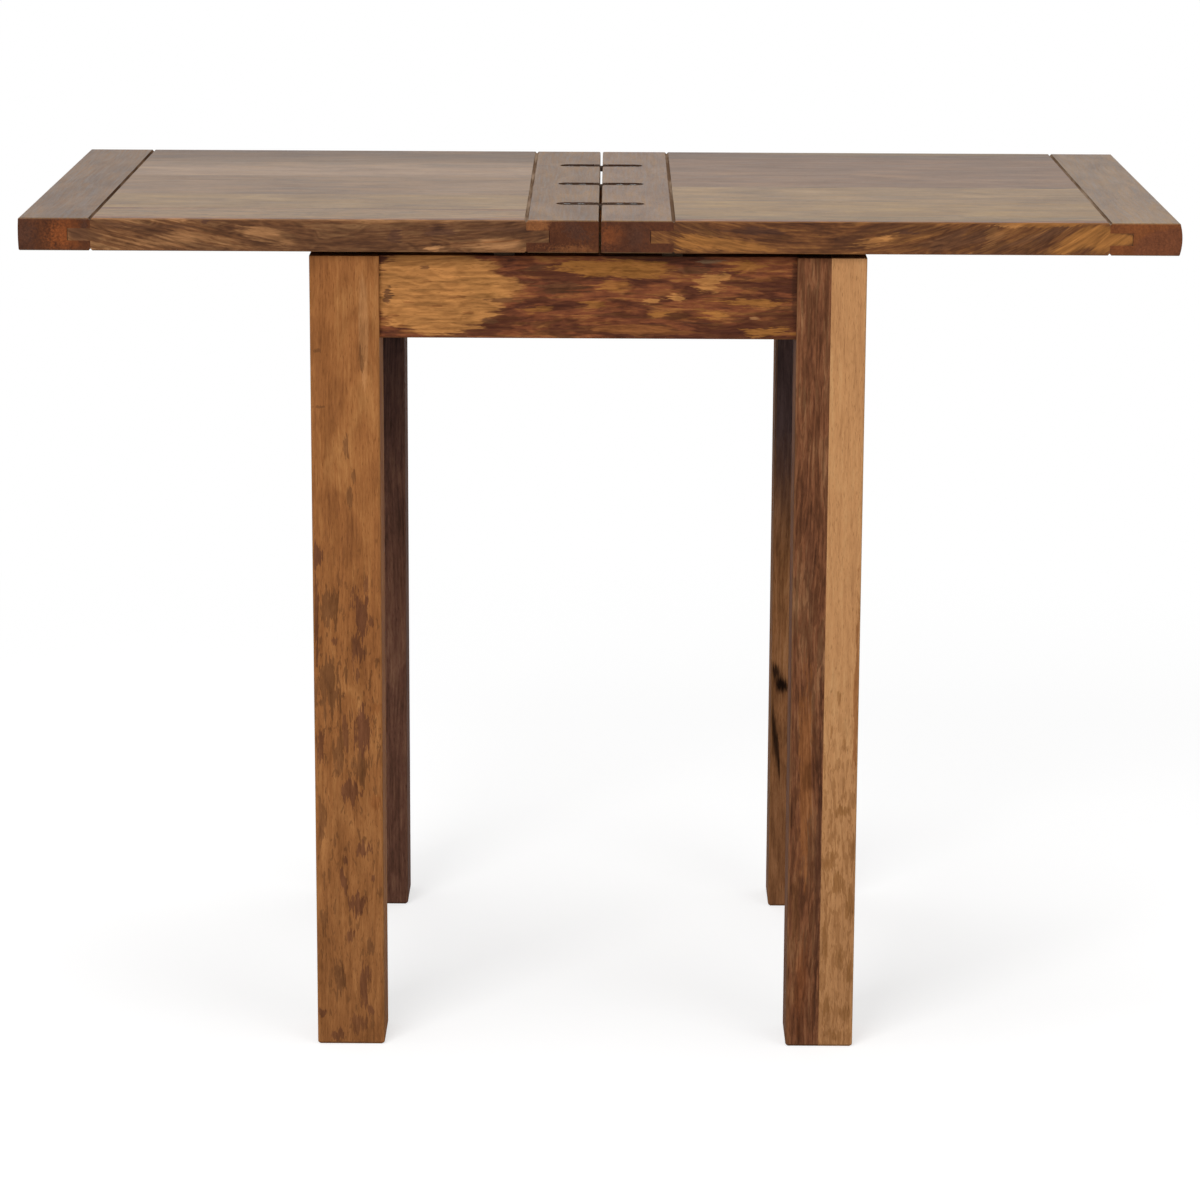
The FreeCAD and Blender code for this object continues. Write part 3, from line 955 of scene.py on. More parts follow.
@dataclass(frozen=True)
class Leaf:
    """One leaf of the top: planks between two cross boards, with three hinge plates. Sizes are in mm."""

    name: str
    side: int
    body: str
    planks: tuple[MangoBoard, ...]
    inner: MangoBoard
    outer: MangoBoard
    screw_reaches: Pair = (17.6, 30.4)
    inner_groove: float = 65.15
    outer_groove: float = 451.0

    def plates(self) -> SunkPlates:
        """Returns the leaf's hinge plates."""
        return SunkPlates(leaf=self.name, side=self.side, body=self.body)

    def dress(self) -> None:
        """Gives every board of the leaf its finish."""
        boards = {f"{self.name}_plank_{number}": board for number, board in enumerate(self.planks, 1)}
        boards[f"{self.name}_inner_cross_board"] = self.inner
        boards[f"{self.name}_outer_cross_board"] = self.outer
        for node, board in boards.items():
            dress(node, replace(board, name=f"mango_{node}").build())

    def line(self, inner: Material, outer: Material) -> None:
        """Lines the leaf's two grooves with films of painted shade and dust."""
        for place, reach, shade_film in (("outer", self.outer_groove, outer), ("inner", self.inner_groove, inner)):
            GrooveLining(self.body, self.side * reach).make(f"{self.name}_{place}_groove_lining", shade_film)

    def screws(self) -> FastenerSet:
        """Places the hinge screws of the leaf, flush in its plates.

        Returns:
            The screws.
        """
        places = []
        for number, row in enumerate(ROWS):
            low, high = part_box(f"{self.name}_hinge_plate_{row}")
            seat = high.z / MM - self.plates().sunk - number * self.plates().row_drop()
            places += [(self.side * reach, (low.y + high.y) / 2 / MM, seat) for reach in self.screw_reaches]
        return FastenerSet(name=f"{self.name}_hinge_screws", body=self.body, slot="hinge_metal",
                           places=tuple(places), facings=(UP,) * len(places), head_radius=3.3, head_height=0.34,
                           shank_radius=1.7, shank_length=14.0, recess_length=3.6, recess_width=0.9)


@dataclass(frozen=True)
class Pivot:
    """The pivot under the right leaf: its plate, washer and nut, slip ring and screws. Sizes are in mm."""

    body: str = "turning_leaf"
    plate_thickness: float = 3.0
    screw_reach: float = 24.0
    screw_head: float = 3.9
    screw_height: float = 0.15

    def centre(self) -> Pair:
        """Returns the pivot's place in metres."""
        low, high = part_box("pivot_plate")
        return (low.x + high.x) / 2, (low.y + high.y) / 2

    def dress(self, steel: Material) -> None:
        """Gives the plate, washer, nut and slip ring their finishes.

        Args:
            steel: the metal parts' material.
        """
        for node in ("pivot_plate", "pivot_washer", "pivot_nut"):
            dress(node, steel)
        dress("slip_ring", SlipNylon("nylon_slip_ring", "#dcd9d0", "#b4afa4", self.centre()).build())

    def screws(self) -> FastenerSet:
        """Places the four screws that hold the plate under the leaf.

        Returns:
            The screws.
        """
        x, y = (value / MM for value in self.centre())
        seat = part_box("pivot_plate")[1].z / MM - self.plate_thickness
        places = tuple((x + right * self.screw_reach, y + back * self.screw_reach, seat)
                       for right in (-1, 1) for back in (-1, 1))
        return FastenerSet(name="pivot_plate_screws", body=self.body, places=places, facings=(DOWN,) * 4,
                           head_radius=self.screw_head, head_height=self.screw_height, shank_radius=2.0,
                           shank_length=18.0, recess_length=4.4, recess_width=1.1)


@dataclass(frozen=True)
class Frame:
    """The frame: legs, aprons, corner blocks, pivot board, pads, bolts and screws. Sizes are in mm."""

    legs: tuple[MangoBoard, ...]
    aprons: tuple[MangoBoard, ...]
    inside: MangoBoard
    body: str = "frame"
    block_thickness: float = 20.0
    nut_radius: float = 7.5
    nut_height: float = 6.5
    washer_radius: float = 11.0
    washer_height: float = 2.0
    screw_inset: float = 5.5

    def dress(self) -> None:
        """Gives every part of the frame its finish."""
        for board in self.legs + self.aprons:
            dress(board.name, replace(board, name=f"mango_{board.name}").build())
        for number, corner in enumerate(("front_left", "front_right", "back_right", "back_left")):
            block = replace(self.inside, name=f"mango_corner_block_{corner}", seed=21.3 + number)
            dress(f"corner_block_{corner}", block.build())
        dress("pivot_board", replace(self.inside, name="mango_pivot_board", seed=27.7).build())
        dress("glide_pads", PressedFelt("felt_glide_pads", "#54402f", "#33261c").build())

    def bolts(self) -> FastenerSet:
        """Places the bolt ends on the corner blocks' inner faces.

        Returns:
            The bolt ends.
        """
        places, facings = [], []
        slant = 1 / math.sqrt(2)
        for leg, x_side, y_side in (("front_left", -1, -1), ("back_left", -1, 1),
                                    ("front_right_inner_strip", 1, -1), ("back_right", 1, 1)):
            low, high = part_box(f"corner_block_{leg.removesuffix('_inner_strip')}")
            leg_low, leg_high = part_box(f"leg_{leg}")
            corner_x = (leg_high.x if x_side < 0 else leg_low.x) / MM
            corner_y = (leg_high.y if y_side < 0 else leg_low.y) / MM
            step = self.block_thickness * slant
            places.append((corner_x - x_side * step, corner_y - y_side * step, (low.z + high.z) / 2 / MM))
            facings.append((-x_side * slant, -y_side * slant, 0.0))
        return FastenerSet(name="corner_bolts", body=self.body, kind=Fastener.BOLT,
                           places=tuple(places), facings=tuple(facings), head_radius=self.nut_radius,
                           head_height=self.nut_height, shank_radius=4.0, shank_length=4.0,
                           washer_radius=self.washer_radius, washer_height=self.washer_height)

    def screws(self) -> FastenerSet:
        """Places the screws that hold the pivot board in the side aprons.

        Returns:
            The screws.
        """
        low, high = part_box("pivot_board")
        inset = self.screw_inset * MM
        quarter = (high.y - low.y) / 4
        middle = (high.y + low.y) / 2
        places = tuple((x / MM, (middle + row * quarter) / MM, high.z / MM)
                       for x in (low.x + inset, high.x - inset) for row in (-1, 1))
        return FastenerSet(name="pivot_board_screws", body=self.body, places=places, facings=(UP,) * 4,
                           head_radius=3.9, head_height=0.3, shank_radius=2.0, shank_length=16.0,
                           recess_length=4.4, recess_width=1.1)


@dataclass(frozen=True)
class Lamp:
    """One soft square lamp. Its place, target and width are in metres, its power in watts."""

    name: str
    place: Place
    target: Place
    width: float
    power: float

    def make(self) -> None:
        """Makes the lamp and turns it to its target."""
        light = bpy.data.lights.new(self.name, "AREA")
        light.shape = "SQUARE"
        light.size = self.width
        light.energy = self.power
        lamp = bpy.data.objects.new(self.name, light)
        way = Vector(self.target) - Vector(self.place)
        lamp.matrix_world = Matrix.Translation(self.place) @ way.to_track_quat("-Z", "Y").to_matrix().to_4x4()
        bpy.context.scene.collection.objects.link(lamp)


@dataclass(frozen=True)
class Studio:
    """The white studio: camera, lamps, world and a pale floor with the table's shadow. Sizes are in metres."""

    lamps: tuple[Lamp, ...]
    ambient: float = 0.42
    floor_tone: str = "#bcbcbc"
    floor_lift: float = 0.62
    floor_width: float = 60.0
    shadow_reach: Pair = (0.7, 1.9)
    focal_length: float = 121.23
    sensor_width: float = 36.0
    camera_place: Place = (0.0097, -3.8103, 1.2527)
    yaw: float = 0.131
    pitch: float = 13.084
    roll: float = 0.273

    def camera(self) -> None:
        """Makes the camera where the photograph was taken."""
        yaw, pitch, roll = (math.radians(value) for value in (self.yaw, self.pitch, self.roll))
        forward = Vector((-math.sin(yaw) * math.cos(pitch), math.cos(yaw) * math.cos(pitch), -math.sin(pitch)))
        right = Vector((math.cos(yaw), math.sin(yaw), 0.0))
        up = right.cross(forward)
        turned_right = math.cos(roll) * right + math.sin(roll) * up
        turned_up = math.cos(roll) * up - math.sin(roll) * right
        data = bpy.data.cameras.new("camera")
        data.sensor_width = self.sensor_width
        data.lens = self.focal_length
        data.clip_start = 0.05
        data.clip_end = 100.0
        camera = bpy.data.objects.new("camera", data)
        axes = Matrix((turned_right, turned_up, -forward)).transposed().to_4x4()
        camera.matrix_world = Matrix.Translation(self.camera_place) @ axes
        bpy.context.scene.collection.objects.link(camera)
        bpy.context.scene.camera = camera

    def seen(self, tree: NodeTree) -> Node:
        """Adds a number that is 1 for what the camera sees, also in reflections and through clear pieces.

        Args:
            tree: the tree of the world or of a material.

        Returns:
            The number's node.
        """
        ray = add(tree, "ShaderNodeLightPath").outputs
        seen = add(tree, MATH, (ray["Is Camera Ray"], ray["Is Glossy Ray"]), operation="MAXIMUM")
        return add(tree, MATH, (seen, ray["Is Transmission Ray"]), operation="MAXIMUM")

    def world(self) -> None:
        """Lights evenly from all round, and is white to the camera, in reflections and through clear pieces."""
        world = bpy.data.worlds.new("studio")
        world.use_nodes = True
        tree = world.node_tree
        strength = add(tree, RANGE, (self.seen(tree), 0.0, 1.0, self.ambient, 1.0))
        feed(tree, tree.nodes["Background"], {"Color": (1.0, 1.0, 1.0, 1.0), "Strength": strength})
        bpy.context.scene.world = world

    def floor(self) -> None:
        """Makes the floor, white to the camera but for the shadow that the table leaves near its feet."""
        half = self.floor_width / 2
        mesh = bpy.data.meshes.new("studio_floor")
        corners = [(x * half, y * half, 0.0) for x, y in ((-1, -1), (1, -1), (1, 1), (-1, 1))]
        mesh.from_pydata(corners, [], [(0, 1, 2, 3)])
        floor = bpy.data.objects.new("studio_floor", mesh)
        bpy.context.scene.collection.objects.link(floor)
        material, tree, place = start_material("painted_studio_floor")
        tree.nodes.remove(tree.nodes["Principled BSDF"])
        seen = self.seen(tree)
        lift = add(tree, MATH, (seen, self.floor_lift), operation="MULTIPLY")
        paint = add(tree, "ShaderNodeBsdfDiffuse", {"Color": self.floor_tone})
        glow = add(tree, "ShaderNodeEmission", {"Strength": lift})
        near = add(tree, "ShaderNodeAddShader", (paint, glow))
        away = add(tree, VECTOR_MATH, (place,), operation="LENGTH")
        far = add(tree, RANGE, (away, *self.shadow_reach), **SMOOTH)
        far = add(tree, MATH, (far, seen), operation="MULTIPLY")
        white = add(tree, "ShaderNodeEmission", {"Strength": 1.0})
        mixed = add(tree, "ShaderNodeMixShader", (far, near, white))
        feed(tree, tree.nodes["Material Output"], {"Surface": mixed})
        mesh.materials.append(material)

    def build(self) -> None:
        """Builds the whole studio."""
        self.camera()
        self.world()
        self.floor()
        for lamp in self.lamps:
            lamp.make()
        bpy.context.scene.view_settings.view_transform = "Standard"


# The boards' tones. A plank or apron runs lengthwise, a cross board from front to back, a leg upright
plank = MangoBoard(name="plank", grain=Grain.LENGTHWISE, deep="#533922", middle="#785738", pale="#98784d",
                   seed=1.0, pith=(40.0, 560.0), heart_strength=0.16, ring_depth=0.14, ring_start=0.1,
                   streak_depth=0.9, cloud_depth=0.8, roughness=0.4, specular=0.16)
across = replace(plank, grain=Grain.FRONT_TO_BACK, deep="#472f19", middle="#674a2c", pale="#84643e",
                 pith=(30.0, 690.0), heart_size=(170.0, 20.0), heart_strength=0.15, ring_depth=0.16,
                 end_tone="#4a200d", end_strength=0.85)
post = MangoBoard(name="post", grain=Grain.UPRIGHT, deep="#6d4226", middle="#91603a", pale="#ab7648", seed=9.0,
                  pith=(-150.0, -420.0), heart_strength=0.08, ring_start=0.05, ring_depth=0.2, specular=0.012)
rail = MangoBoard(name="rail", grain=Grain.LENGTHWISE, deep="#4a2a1b", middle="#7b4c2c", pale="#a9713c",
                  seed=13.0, pith=(-150.0, 640.0), ring_start=0.05)
inside = MangoBoard(name="inside", grain=Grain.LENGTHWISE, deep="#7d5a3a", middle="#9b7650", pale="#b18d64",
                    seed=27.0, pith=(0.0, 500.0), heart_strength=0.25, roughness=0.62)


# How high the marks in the top's face lie, and where those in the front faces lie in Y, in mm
TOP_FACE = 771.3
TOP_FRONT = -257.5
LEG_FRONT = -248.0
APRON_FRONT = -242.0


def dark_line(x: float, y: float, half_length: float, strength: float = 0.95) -> Mark:
    """Returns a thin dark line along X in the top, such as stain in a joint."""
    return Mark((x, y, TOP_FACE), (half_length, 2.0, 1.8), "#2a1c12", strength, softness=0.5, ragged=0.1)


# The front planks' top faces are paler than their front edges
left_top_strip = Mark((-258.0, -218.0, TOP_FACE), (330.0, 38.5, 1.8), "#846a4a", 0.8, softness=0.3, ragged=0.02)
right_top_strip = replace(left_top_strip, centre=(258.0, -218.0, TOP_FACE), tone="#7f6846")

# The two planks at the back of the left leaf grow alike towards their joint
left_blend = Mark((-258.0, 158.6, TOP_FACE), (420.0, 62.0, 2.6), "#735a41", 0.85, softness=0.95, ragged=0.03)

left_front_edge = marks(
    TOP_FRONT, 5.0,
    (-418.1, 765, 24, 4, HEART, 0.7), (-372.9, 770, 11, 2.2, STRAW, 0.75), (-348.2, 768, 4, 2.2, SOOT, 0.85),
    (-375.7, 764, 22, 1.8, HEART, 0.7), (-367, 755, 24, 7.5, STRAW, 0.55, 0, 0.4, 0.7),
    (-293.6, 756, 32, 8.5, STRAW, 0.7, 12, 0.3, 0.6), (-298.9, 754, 23, 1.1, UMBER, 0.8, 12, 0.3),
    (-268.8, 758, 19, 1.1, UMBER, 0.8, 12, 0.3), (-182.1, 756, 7.1, 8, SOOT, 0.7, -25),
    (-141.4, 760, 18, 5.3, SOOT, 0.7), (-144.1, 746, 9.7, 2.7, STRAW, 0.85), (-125.5, 748, 8, 3.5, UMBER, 0.7),
    (-88.4, 750, 28, 6.6, STRAW, 0.65, 0, 0.2, 0.6), (-88.4, 752, 21, 1.1, RUSSET, 0.7, -4, 0.3),
    (-85.7, 763, 23, 2.3, HEART, 0.8), (-445.7, 756, 8, 9, HEART, 0.6, 0, 0.3, 0.8),
    (-460, 757, 14, 11, HEART, 0.9, 0, 0.2, 0.5), (-395, 750, 42, 6, STRAW, 0.4, 0, 0.4, 0.7))
left_planks = (
    replace(plank, seed=1.3, deep="#492b18", middle="#774e2f", pale="#a3764c", heart_share=0.35,
            heart_strength=0.45, ring_swirl=1.6, ring_depth=0.45, ring_start=0.0, swirl_size=(55.0, 18.0),
            streak_depth=1.1, bow=(-204.0, 0.0006),
            marks=(left_top_strip, dark_line(-180.0, -186.5, 130.0, 0.7), *left_front_edge)),
    replace(plank, seed=2.6, middle="#7e6341", pale="#997d55"),
    replace(plank, seed=3.1, deep="#523d2a", middle="#775c42", pale="#917456", heart_share=0.4,
            marks=(dark_line(-208.0, 6.0, 27.0),)),
    replace(plank, seed=4.7, deep="#624c38", middle="#866b53", pale="#a28669", heart_share=0.15,
            marks=(left_blend,)),
    replace(plank, seed=5.9, deep="#422d1b", middle="#5c432c", pale="#775a3c", heart_share=0.45,
            marks=(left_blend,)),
)
right_front_edge = marks(
    TOP_FRONT, 6.0,
    (81.4, 752, 21, 8.8, AMBER, 0.8, 0, 0.4), (139.7, 762, 30, 4.4, SOOT, 0.75, 2),
    (114, 750, 46, 7, AMBER, 0.75, 3, 0.4), (243.2, 753, 25, 5.3, HONEY, 0.45, -14),
    (252.9, 757, 6.2, 3.5, HONEY, 0.8), (269.6, 762, 19, 2.2, SOOT, 0.7, 4), (362.2, 768, 19, 2.6, HONEY, 0.8),
    (384, 758, 32, 5.3, HEART, 0.6, -16), (318.3, 755, 30, 8, HEART, 0.6, -12),
    (347, 757, 13, 7, BRONZE, 0.6, -30), (392, 769.5, 40, 2.6, AMBER, 0.75),
    (424, 755, 27, 10, AMBER, 0.92, -30, 0.25), (443, 757, 20, 15, AMBER, 0.9, 0, 0.2, 0.5),
    (461, 756.3, 14, 6, AMBER, 0.9, 0, 0.1))
right_planks = (
    replace(plank, seed=7.2, deep="#462615", middle="#6d4325", pale="#9a6736", heart_share=0.42,
            heart_strength=0.45, heart_size=(60.0, 20.0), ring_swirl=1.6, ring_depth=0.4, ring_start=0.0,
            swirl_size=(60.0, 20.0), streak_depth=1.1, bow=(189.0, 0.00137),
            marks=(right_top_strip, *right_front_edge)),
    replace(plank, seed=8.4, deep="#594027", middle="#80633d", pale="#9e8050", heart_share=0.2, marks=(
        dark_line(135.0, -195.0, 11.0), dark_line(72.0, -217.5, 14.0), dark_line(394.0, -123.2, 18.0))),
    replace(plank, seed=9.8, deep="#573e26", middle="#7e6341", pale="#9b7c54", heart_share=0.2, marks=(
        dark_line(198.0, -18.0, 45.0), dark_line(335.0, -18.0, 30.0), dark_line(420.0, -18.0, 30.0))),
    replace(plank, seed=10.5, middle="#70533b", pale="#8a6a4c", heart_share=0.35),
    replace(plank, seed=11.7, middle="#6b4f38", pale="#846449", heart_share=0.4),
    replace(plank, seed=12.9, deep="#432c1b", middle="#5e442d", pale="#795b3f", heart_share=0.4, marks=(
        Mark((300.0, 257.5, TOP_FACE), (200.0, 26.0, 1.8), "#75603f", 0.8, softness=0.4, ragged=0.05),)),
)

left_inner_end = marks(
    TOP_FRONT, 5.0,
    (-60, 772, 19, 17, RUSSET, 0.8, 0, 0.15, 0.3), (-22, 762, 15, 9, SOOT, 0.65, 30),
    (-24, 745, 30, 6, RUSSET, 0.55, 0, 0.5, 0.8))
left_outer_end = marks(
    TOP_FRONT, 6.0,
    (-474, 757, 20, 22, RUST, 0.85, 0, 0.25, 0.9), (-508, 757, 17, 24, SOOT, 0.8, 0, 0.25, 0.9),
    (-456.2, 761, 4.4, 11, SOOT, 0.7))
right_inner_end = marks(
    TOP_FRONT, 6.0,
    (9, 757, 15, 14, RUST, 0.4, 0, 0.3, 0.8), (33, 757, 13, 17, SOOT, 0.6, 0, 0.3, 0.8))
right_outer_end = (
    Mark((507.0, TOP_FRONT, 744.0), (38.0, 6.0, 24.0), "#673a24", 0.7, softness=0.15, ragged=0.04),)
left_leaf = Leaf(
    name="left", side=-1, body="folding_leaf", planks=left_planks,
    inner=replace(across, seed=14.2, hinge_rims=True, marks=left_inner_end),
    outer=replace(across, seed=15.8, deep="#412a19", middle="#61462b", pale="#7c5c3b", end_tone="#502610",
                  marks=left_outer_end))
right_leaf = Leaf(
    name="right", side=1, body="turning_leaf", planks=right_planks,
    inner=replace(across, seed=16.1, hinge_rims=True, middle="#6e523a", marks=right_inner_end),
    outer=replace(across, seed=17.6, middle="#745a3f", pale="#8c6d48", end_tone="#713a18",
                  marks=right_outer_end))

left_leg_bands = marks(
    LEG_FRONT, 20.0,
    (-210.4, 671, 5.3, 62, STRAW, 0.55, 0, 0.15), (-243.4, 671, 8.9, 71, RUSSET, 0.5, 0, 0.2))
left_leg_patches = marks(
    LEG_FRONT, 20.0,
    (-253.5, 464, 4.8, 12, CHESTNUT, 0.85), (-255.5, 414, 2.2, 49, CHESTNUT, 0.8),
    (-243.4, 418, 9.22, 20.7, UMBER, 0.8), (-215.3, 412, 8.06, 23, CHESTNUT, 0.85),
    (-219, 375, 5.76, 14.9, CHESTNUT, 0.8), (-244.6, 339, 11.6, 31, UMBER, 0.85),
    (-214.6, 301, 8.7, 25.3, CHESTNUT, 0.9), (-201.8, 322, 7.04, 5.29, RUSSET, 0.7),
    (-230.1, 297, 4, 17, CHESTNUT, 0.7), (-253, 284, 4.2, 16, CHESTNUT, 0.75),
    (-216.5, 268, 8.19, 13.8, UMBER, 0.8), (-236.6, 276, 5.89, 23, UMBER, 0.75),
    (-224.8, 244, 9.34, 12.6, CHESTNUT, 0.8), (-202.8, 233, 5.89, 8.39, RUSSET, 0.8),
    (-252.3, 212, 4.74, 23, UMBER, 0.7), (-214.8, 188, 7.04, 8.39, CHESTNUT, 0.8),
    (-232.3, 154, 3, 15, CHESTNUT, 0.8, -12), (-219.8, 135, 8.19, 11.5, CHESTNUT, 0.85),
    (-226, 104, 4.74, 7.47, CHESTNUT, 0.7), (-208.5, 97, 3.78, 8.88, UMBER, 0.8),
    (-238.1, 66, 7.17, 21.8, UMBER, 0.85), (-214.1, 58, 4.74, 25.3, CHESTNUT, 0.75),
    (-254, 31, 4.74, 4.25, CHESTNUT, 0.8), (-240.2, 9, 5.89, 6.44, CHESTNUT, 0.7),
    (-205.3, 403, 2.43, 5.4, CHESTNUT, 0.7), (-210.7, 439, 2.43, 7.56, CHESTNUT, 0.6),
    (-212.5, 643, 2.43, 10.7, UMBER, 0.7), (-227.1, 563, 2.43, 13.2, UMBER, 0.75),
    (-220.7, 536, 1.76, 6.48, UMBER, 0.7), (-224.1, 521, 2.43, 10.8, UMBER, 0.7),
    (-251.7, 601, 5.76, 1.49, UMBER, 0.6), (-251.5, 652, 4.61, 2.07, UMBER, 0.6),
    (-252.0, 120, 3, 14, UMBER, 0.6), (-221.0, 20, 8, 10, CHESTNUT, 0.55), (-209.5, 34, 3.4, 5, CHESTNUT, 0.7),
    (-231.5, 176, 2, 5, CHESTNUT, 0.75), (-206, 160, 2.4, 4.4, CHESTNUT, 0.75), (-240, 196, 1.6, 7, UMBER, 0.7),
    (-239, 385, 2.6, 4.2, CHESTNUT, 0.7), (-219, 352, 2, 6, CHESTNUT, 0.7))
inner_strip_marks = marks(
    LEG_FRONT, 20.0,
    (189.8, 262, 7.3, 119, RUSSET, 0.6, 0, 0.4), (203.3, 190, 3.2, 174, SOOT, 0.7, 0, 0.5),
    (188, 60, 8, 66, RUST, 0.25, 0, 0.4, 0.8), (190.7, 463, 6.3, 45, SOOT, 0.45, 0, 0.6),
    (182.7, 123, 4.6, 55, UMBER, 0.5, 0, 0.5))
outer_strip_marks = marks(
    LEG_FRONT, 20.0,
    (224, 227, 9.2, 6.4, BRONZE, 0.75), (235.4, 190, 3.7, 18, BRONZE, 0.8),
    (213.5, 179, 5.5, 11, BRONZE, 0.75, 20), (222, 157, 6.4, 15, BRONZE, 0.7, -25),
    (233.2, 138, 5.5, 18, BRONZE, 0.75), (210.6, 104, 3.7, 18, BRONZE, 0.7), (224.6, 86, 4.6, 11, BRONZE, 0.6),
    (234.9, 70, 4.6, 15, BRONZE, 0.7), (213, 41, 4.6, 11, BRONZE, 0.7), (229.8, 31, 5.6, 11, BRONZE, 0.65),
    (218.9, 11, 8.4, 5.6, BRONZE, 0.6), (235.6, 333, 3.2, 100, RUSSET, 0.75, 0, 0.5),
    (219.2, 333, 1.8, 9.1, BRONZE, 0.7), (213.1, 304, 1.8, 7.3, BRONZE, 0.7),
    (225.1, 290, 2.7, 9.1, BRONZE, 0.6))
legs = (
    replace(post, name="leg_front_left", seed=18.4, deep="#7f4f2e", middle="#9b6439", pale="#b17a48",
            pith=(-236.0, -150.0), ring_spacing=9.0, ring_wander=4.0, ring_swirl=0.5, ring_start=0.0,
            ring_depth=0.22, streak_depth=0.8, spot="#5f3d26", spot_share=0.12, spot_size=(14.0, 3.5),
            spot_range=(330.0, 560.0), marks=(
                Mark((-250.0, LEG_FRONT, 0.0), (260.0, 260.0, 480.0), "#8f5f39", 0.5, 0.9, 0.05),
                *left_leg_bands, *(replace(patch, softness=0.18) for patch in left_leg_patches))),
    replace(post, name="leg_front_right_inner_strip", seed=19.5, deep="#553424", middle="#7d4f35",
            pale="#946a49", heart="#3d2518", heart_share=0.5, heart_size=(34.0, 4.0), heart_strength=0.45,
            streak_depth=1.2, marks=inner_strip_marks),
    replace(post, name="leg_front_right_outer_strip", seed=20.7, deep="#a6764d", middle="#bf8b5c",
            pale="#c99a69", heart_strength=0.03, spot="#8c5f37", spot_share=0.42, spot_size=(16.0, 3.2),
            spot_range=(190.0, 400.0), ring_depth=0.1, streak_depth=0.7, cloud_depth=0.6, marks=(
                Mark((225.0, LEG_FRONT, 0.0), (260.0, 260.0, 420.0), "#a2724a", 0.5, 0.9, 0.05),
                *outer_strip_marks)),
    replace(post, name="leg_back_left", seed=21.9, deep="#4a3227", middle="#684638", pale="#815c47", marks=(
        # Painted shade: the upper front face, darkened where the top and aprons shade it
        Mark((-230.0, 186.0, 737.0), (200.0, 24.0, 420.0), "#3a2f32", 0.8, softness=0.9, ragged=0.05),)),
    replace(post, name="leg_back_right", seed=22.8, deep="#634229", middle="#8e5f3c", pale="#a4744d", marks=(
        Mark((200.0, 186.0, 40.0), (200.0, 90.0, 260.0), "#6a4630", 0.4, softness=0.9, ragged=0.05),
        # Painted shade: the upper front face, darkened where the top and aprons shade it
        Mark((200.0, 186.0, 737.0), (200.0, 24.0, 385.0), "#3e3539", 0.88, softness=0.42, ragged=0.03),
        Mark((183.5, 186.0, 236.0), (11.0, 20.0, 30.0), "#4a2e1e", 0.6, softness=1.0, ragged=0.2),
        Mark((179.5, 186.0, 250.0), (7.0, 20.0, 15.0), "#1c110c", 0.9, softness=0.8, ragged=0.25, lean=-20.0),
        Mark((186.5, 186.0, 236.0), (9.0, 20.0, 12.0), "#140b08", 0.97, softness=0.7, ragged=0.25),
        Mark((180.0, 186.0, 182.0), (4.0, 20.0, 58.0), "#1c110c", 0.9, softness=0.8, ragged=0.15, lean=-6.0),
        Mark((184.0, 186.0, 160.0), (1.6, 20.0, 34.0), "#1c110c", 0.8, softness=0.7, ragged=0.15, lean=-3.0))),
)

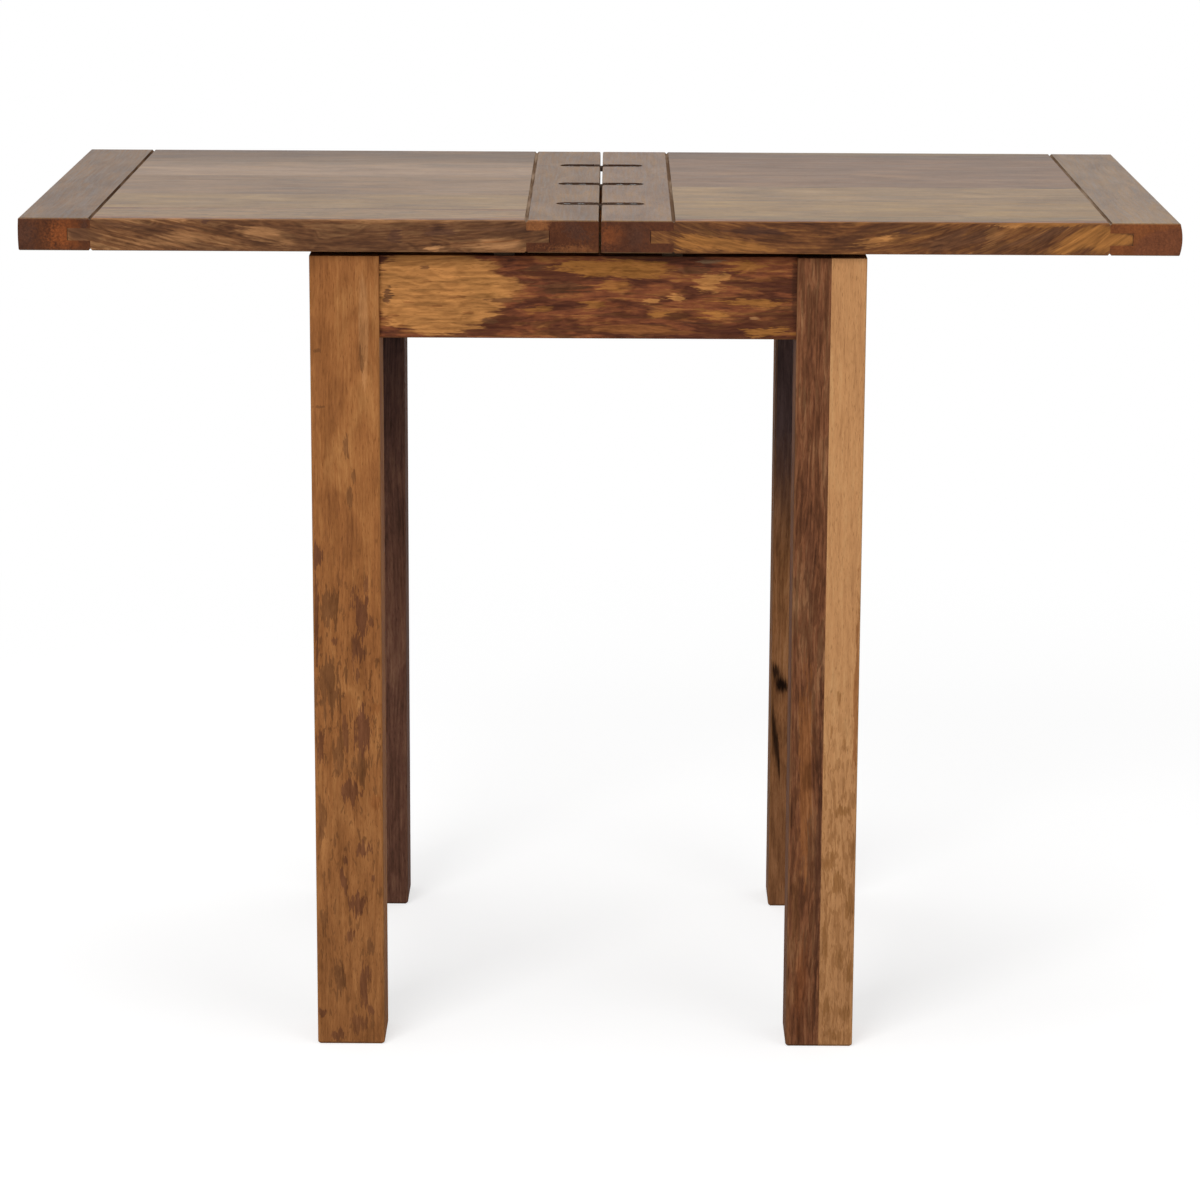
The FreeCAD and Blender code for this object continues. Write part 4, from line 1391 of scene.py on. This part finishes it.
front_apron_marks = marks(
    APRON_FRONT, 30.0,
    (-145, 706, 64, 42, HONEY, 0.9, 0, 0.12, 0.12), (-97, 711, 30, 13, HONEY, 0.85, 0, 0.25, 0.3),
    (-188.7, 700, 4.5, 9.8, HEART, 0.85), (-153.8, 726, 6.2, 2.2, UMBER, 0.85),
    (-153.8, 714, 4.5, 1.1, RUSSET, 0.7), (-182.6, 683, 5.4, 1.6, RUSSET, 0.8),
    (-170, 695, 5.3, 1.2, RUSSET, 0.7), (-145.9, 692, 6.2, 1.2, RUSSET, 0.7),
    (-126.3, 700, 7.1, 1.2, RUSSET, 0.6), (-176.4, 674, 5.4, 1.2, RUSSET, 0.7),
    (-115.6, 686, 7.1, 1.2, RUSSET, 0.6), (-98.7, 678, 9.8, 2.7, HEART, 0.85),
    (-87.1, 697, 21, 3.1, UMBER, 0.9), (-57.7, 689, 20, 3.6, AMBER, 0.6), (-56.8, 727, 12, 4.4, HEART, 0.6),
    (-37.2, 708, 32, 6.2, HEART, 0.75), (16, 726, 64, 9.5, AMBER, 0.92, 2, 0.4),
    (12.7, 711, 19, 4.5, AMBER, 0.6), (98.1, 714, 14, 9.8, HONEY, 0.92, 0, 0.5),
    (129.1, 729, 16, 5.3, AMBER, 0.8), (110.5, 721, 7.1, 5.3, HONEY, 0.8), (68.9, 700, 8.9, 4, HONEY, 0.9),
    (46.6, 697, 12, 2.7, HONEY, 0.8, -6), (-2.4, 694, 12, 4.5, AMBER, 0.65), (53.8, 685, 13, 3.6, AMBER, 0.8),
    (101.1, 685, 14, 4.5, AMBER, 0.8), (138.4, 696, 32, 3.6, AMBER, 0.8), (137.7, 682, 5.4, 1.8, STRAW, 0.8),
    (147.7, 670, 26, 5.4, AMBER, 0.8), (100.6, 733, 12, 2.2, TAUPE, 0.7), (83.8, 725, 15, 4.4, HEART, 0.75),
    (36.1, 671, 54, 5.4, RUSSET, 0.7, 2, 0.4), (79.8, 678, 28, 1.4, SOOT, 0.7, 3),
    (146.1, 717, 12, 3.6, RUSSET, 0.55), (132.9, 706, 8.9, 3.1, RUSSET, 0.55),
    (173.9, 708, 3.6, 36, SOOT, 0.6, 0, 0.3))
aprons = (
    replace(rail, name="apron_front", seed=23.3, deep="#4f2d21", middle="#80492e", pale="#a16b3a",
            heart="#42241c", heart_share=0.5, heart_size=(95.0, 16.0), heart_strength=0.7, ring_swirl=1.2,
            swirl_size=(45.0, 16.0), ring_depth=0.35, marks=front_apron_marks),
    replace(rail, name="apron_right", seed=24.6),
    replace(rail, name="apron_back", seed=25.4, heart_share=0.4),
    replace(rail, name="apron_left", seed=26.2, middle="#865634", heart_share=0.2),
)


def main() -> None:
    """Builds and dresses the table and its studio."""
    hinge_finish = WornMetal("browned_steel_hinges", "#66564a", "#54463c", 0.42, edge="#7a6658").build()
    screw_finish = WornMetal("blackened_steel_screws", "#40362f", "#2c2521", 0.36, 3.0).build()
    steel = WornMetal("zinc_plated_steel", "#a9a8a4", "#8b8983", 0.34, 4.0).build()
    table = Frame(legs=legs, aprons=aprons, inside=inside)
    table.dress()
    # The grooves' films are painted shade with dust, deepest in the left leaf's outer groove
    deep_groove_shade = GrooveShadeFilm("stain_pooled_in_groove", "#443226", "#66503f").build()
    dust = GrooveShadeFilm("dust_on_stain_in_groove", "#66503f", "#927c68").build()
    for leaf, outer_shade_film in ((left_leaf, deep_groove_shade), (right_leaf, dust)):
        leaf.dress()
        leaf.plates().make(hinge_finish)
        leaf.screws().make(screw_finish)
        leaf.line(dust, outer_shade_film)
    pivot = Pivot()
    pivot.dress(steel)
    for fasteners in (pivot.screws(), table.bolts(), table.screws()):
        fasteners.make(steel)
    for node in (*(f"hinge_link_{row}" for row in ROWS), "hinge_pins"):
        dress(node, hinge_finish)
    Studio(lamps=(
        Lamp("key", (-1.1, -2.6, 2.5), (0.0, -0.1, 0.45), 1.6, 62.0),
        Lamp("fill", (1.9, -2.4, 1.5), (0.0, -0.1, 0.5), 1.6, 18.0),
        Lamp("overhead", (0.0, 0.3, 3.0), (0.0, 0.1, 0.7), 2.0, 26.0),
    )).build()


if __name__ == "__main__":
    main()
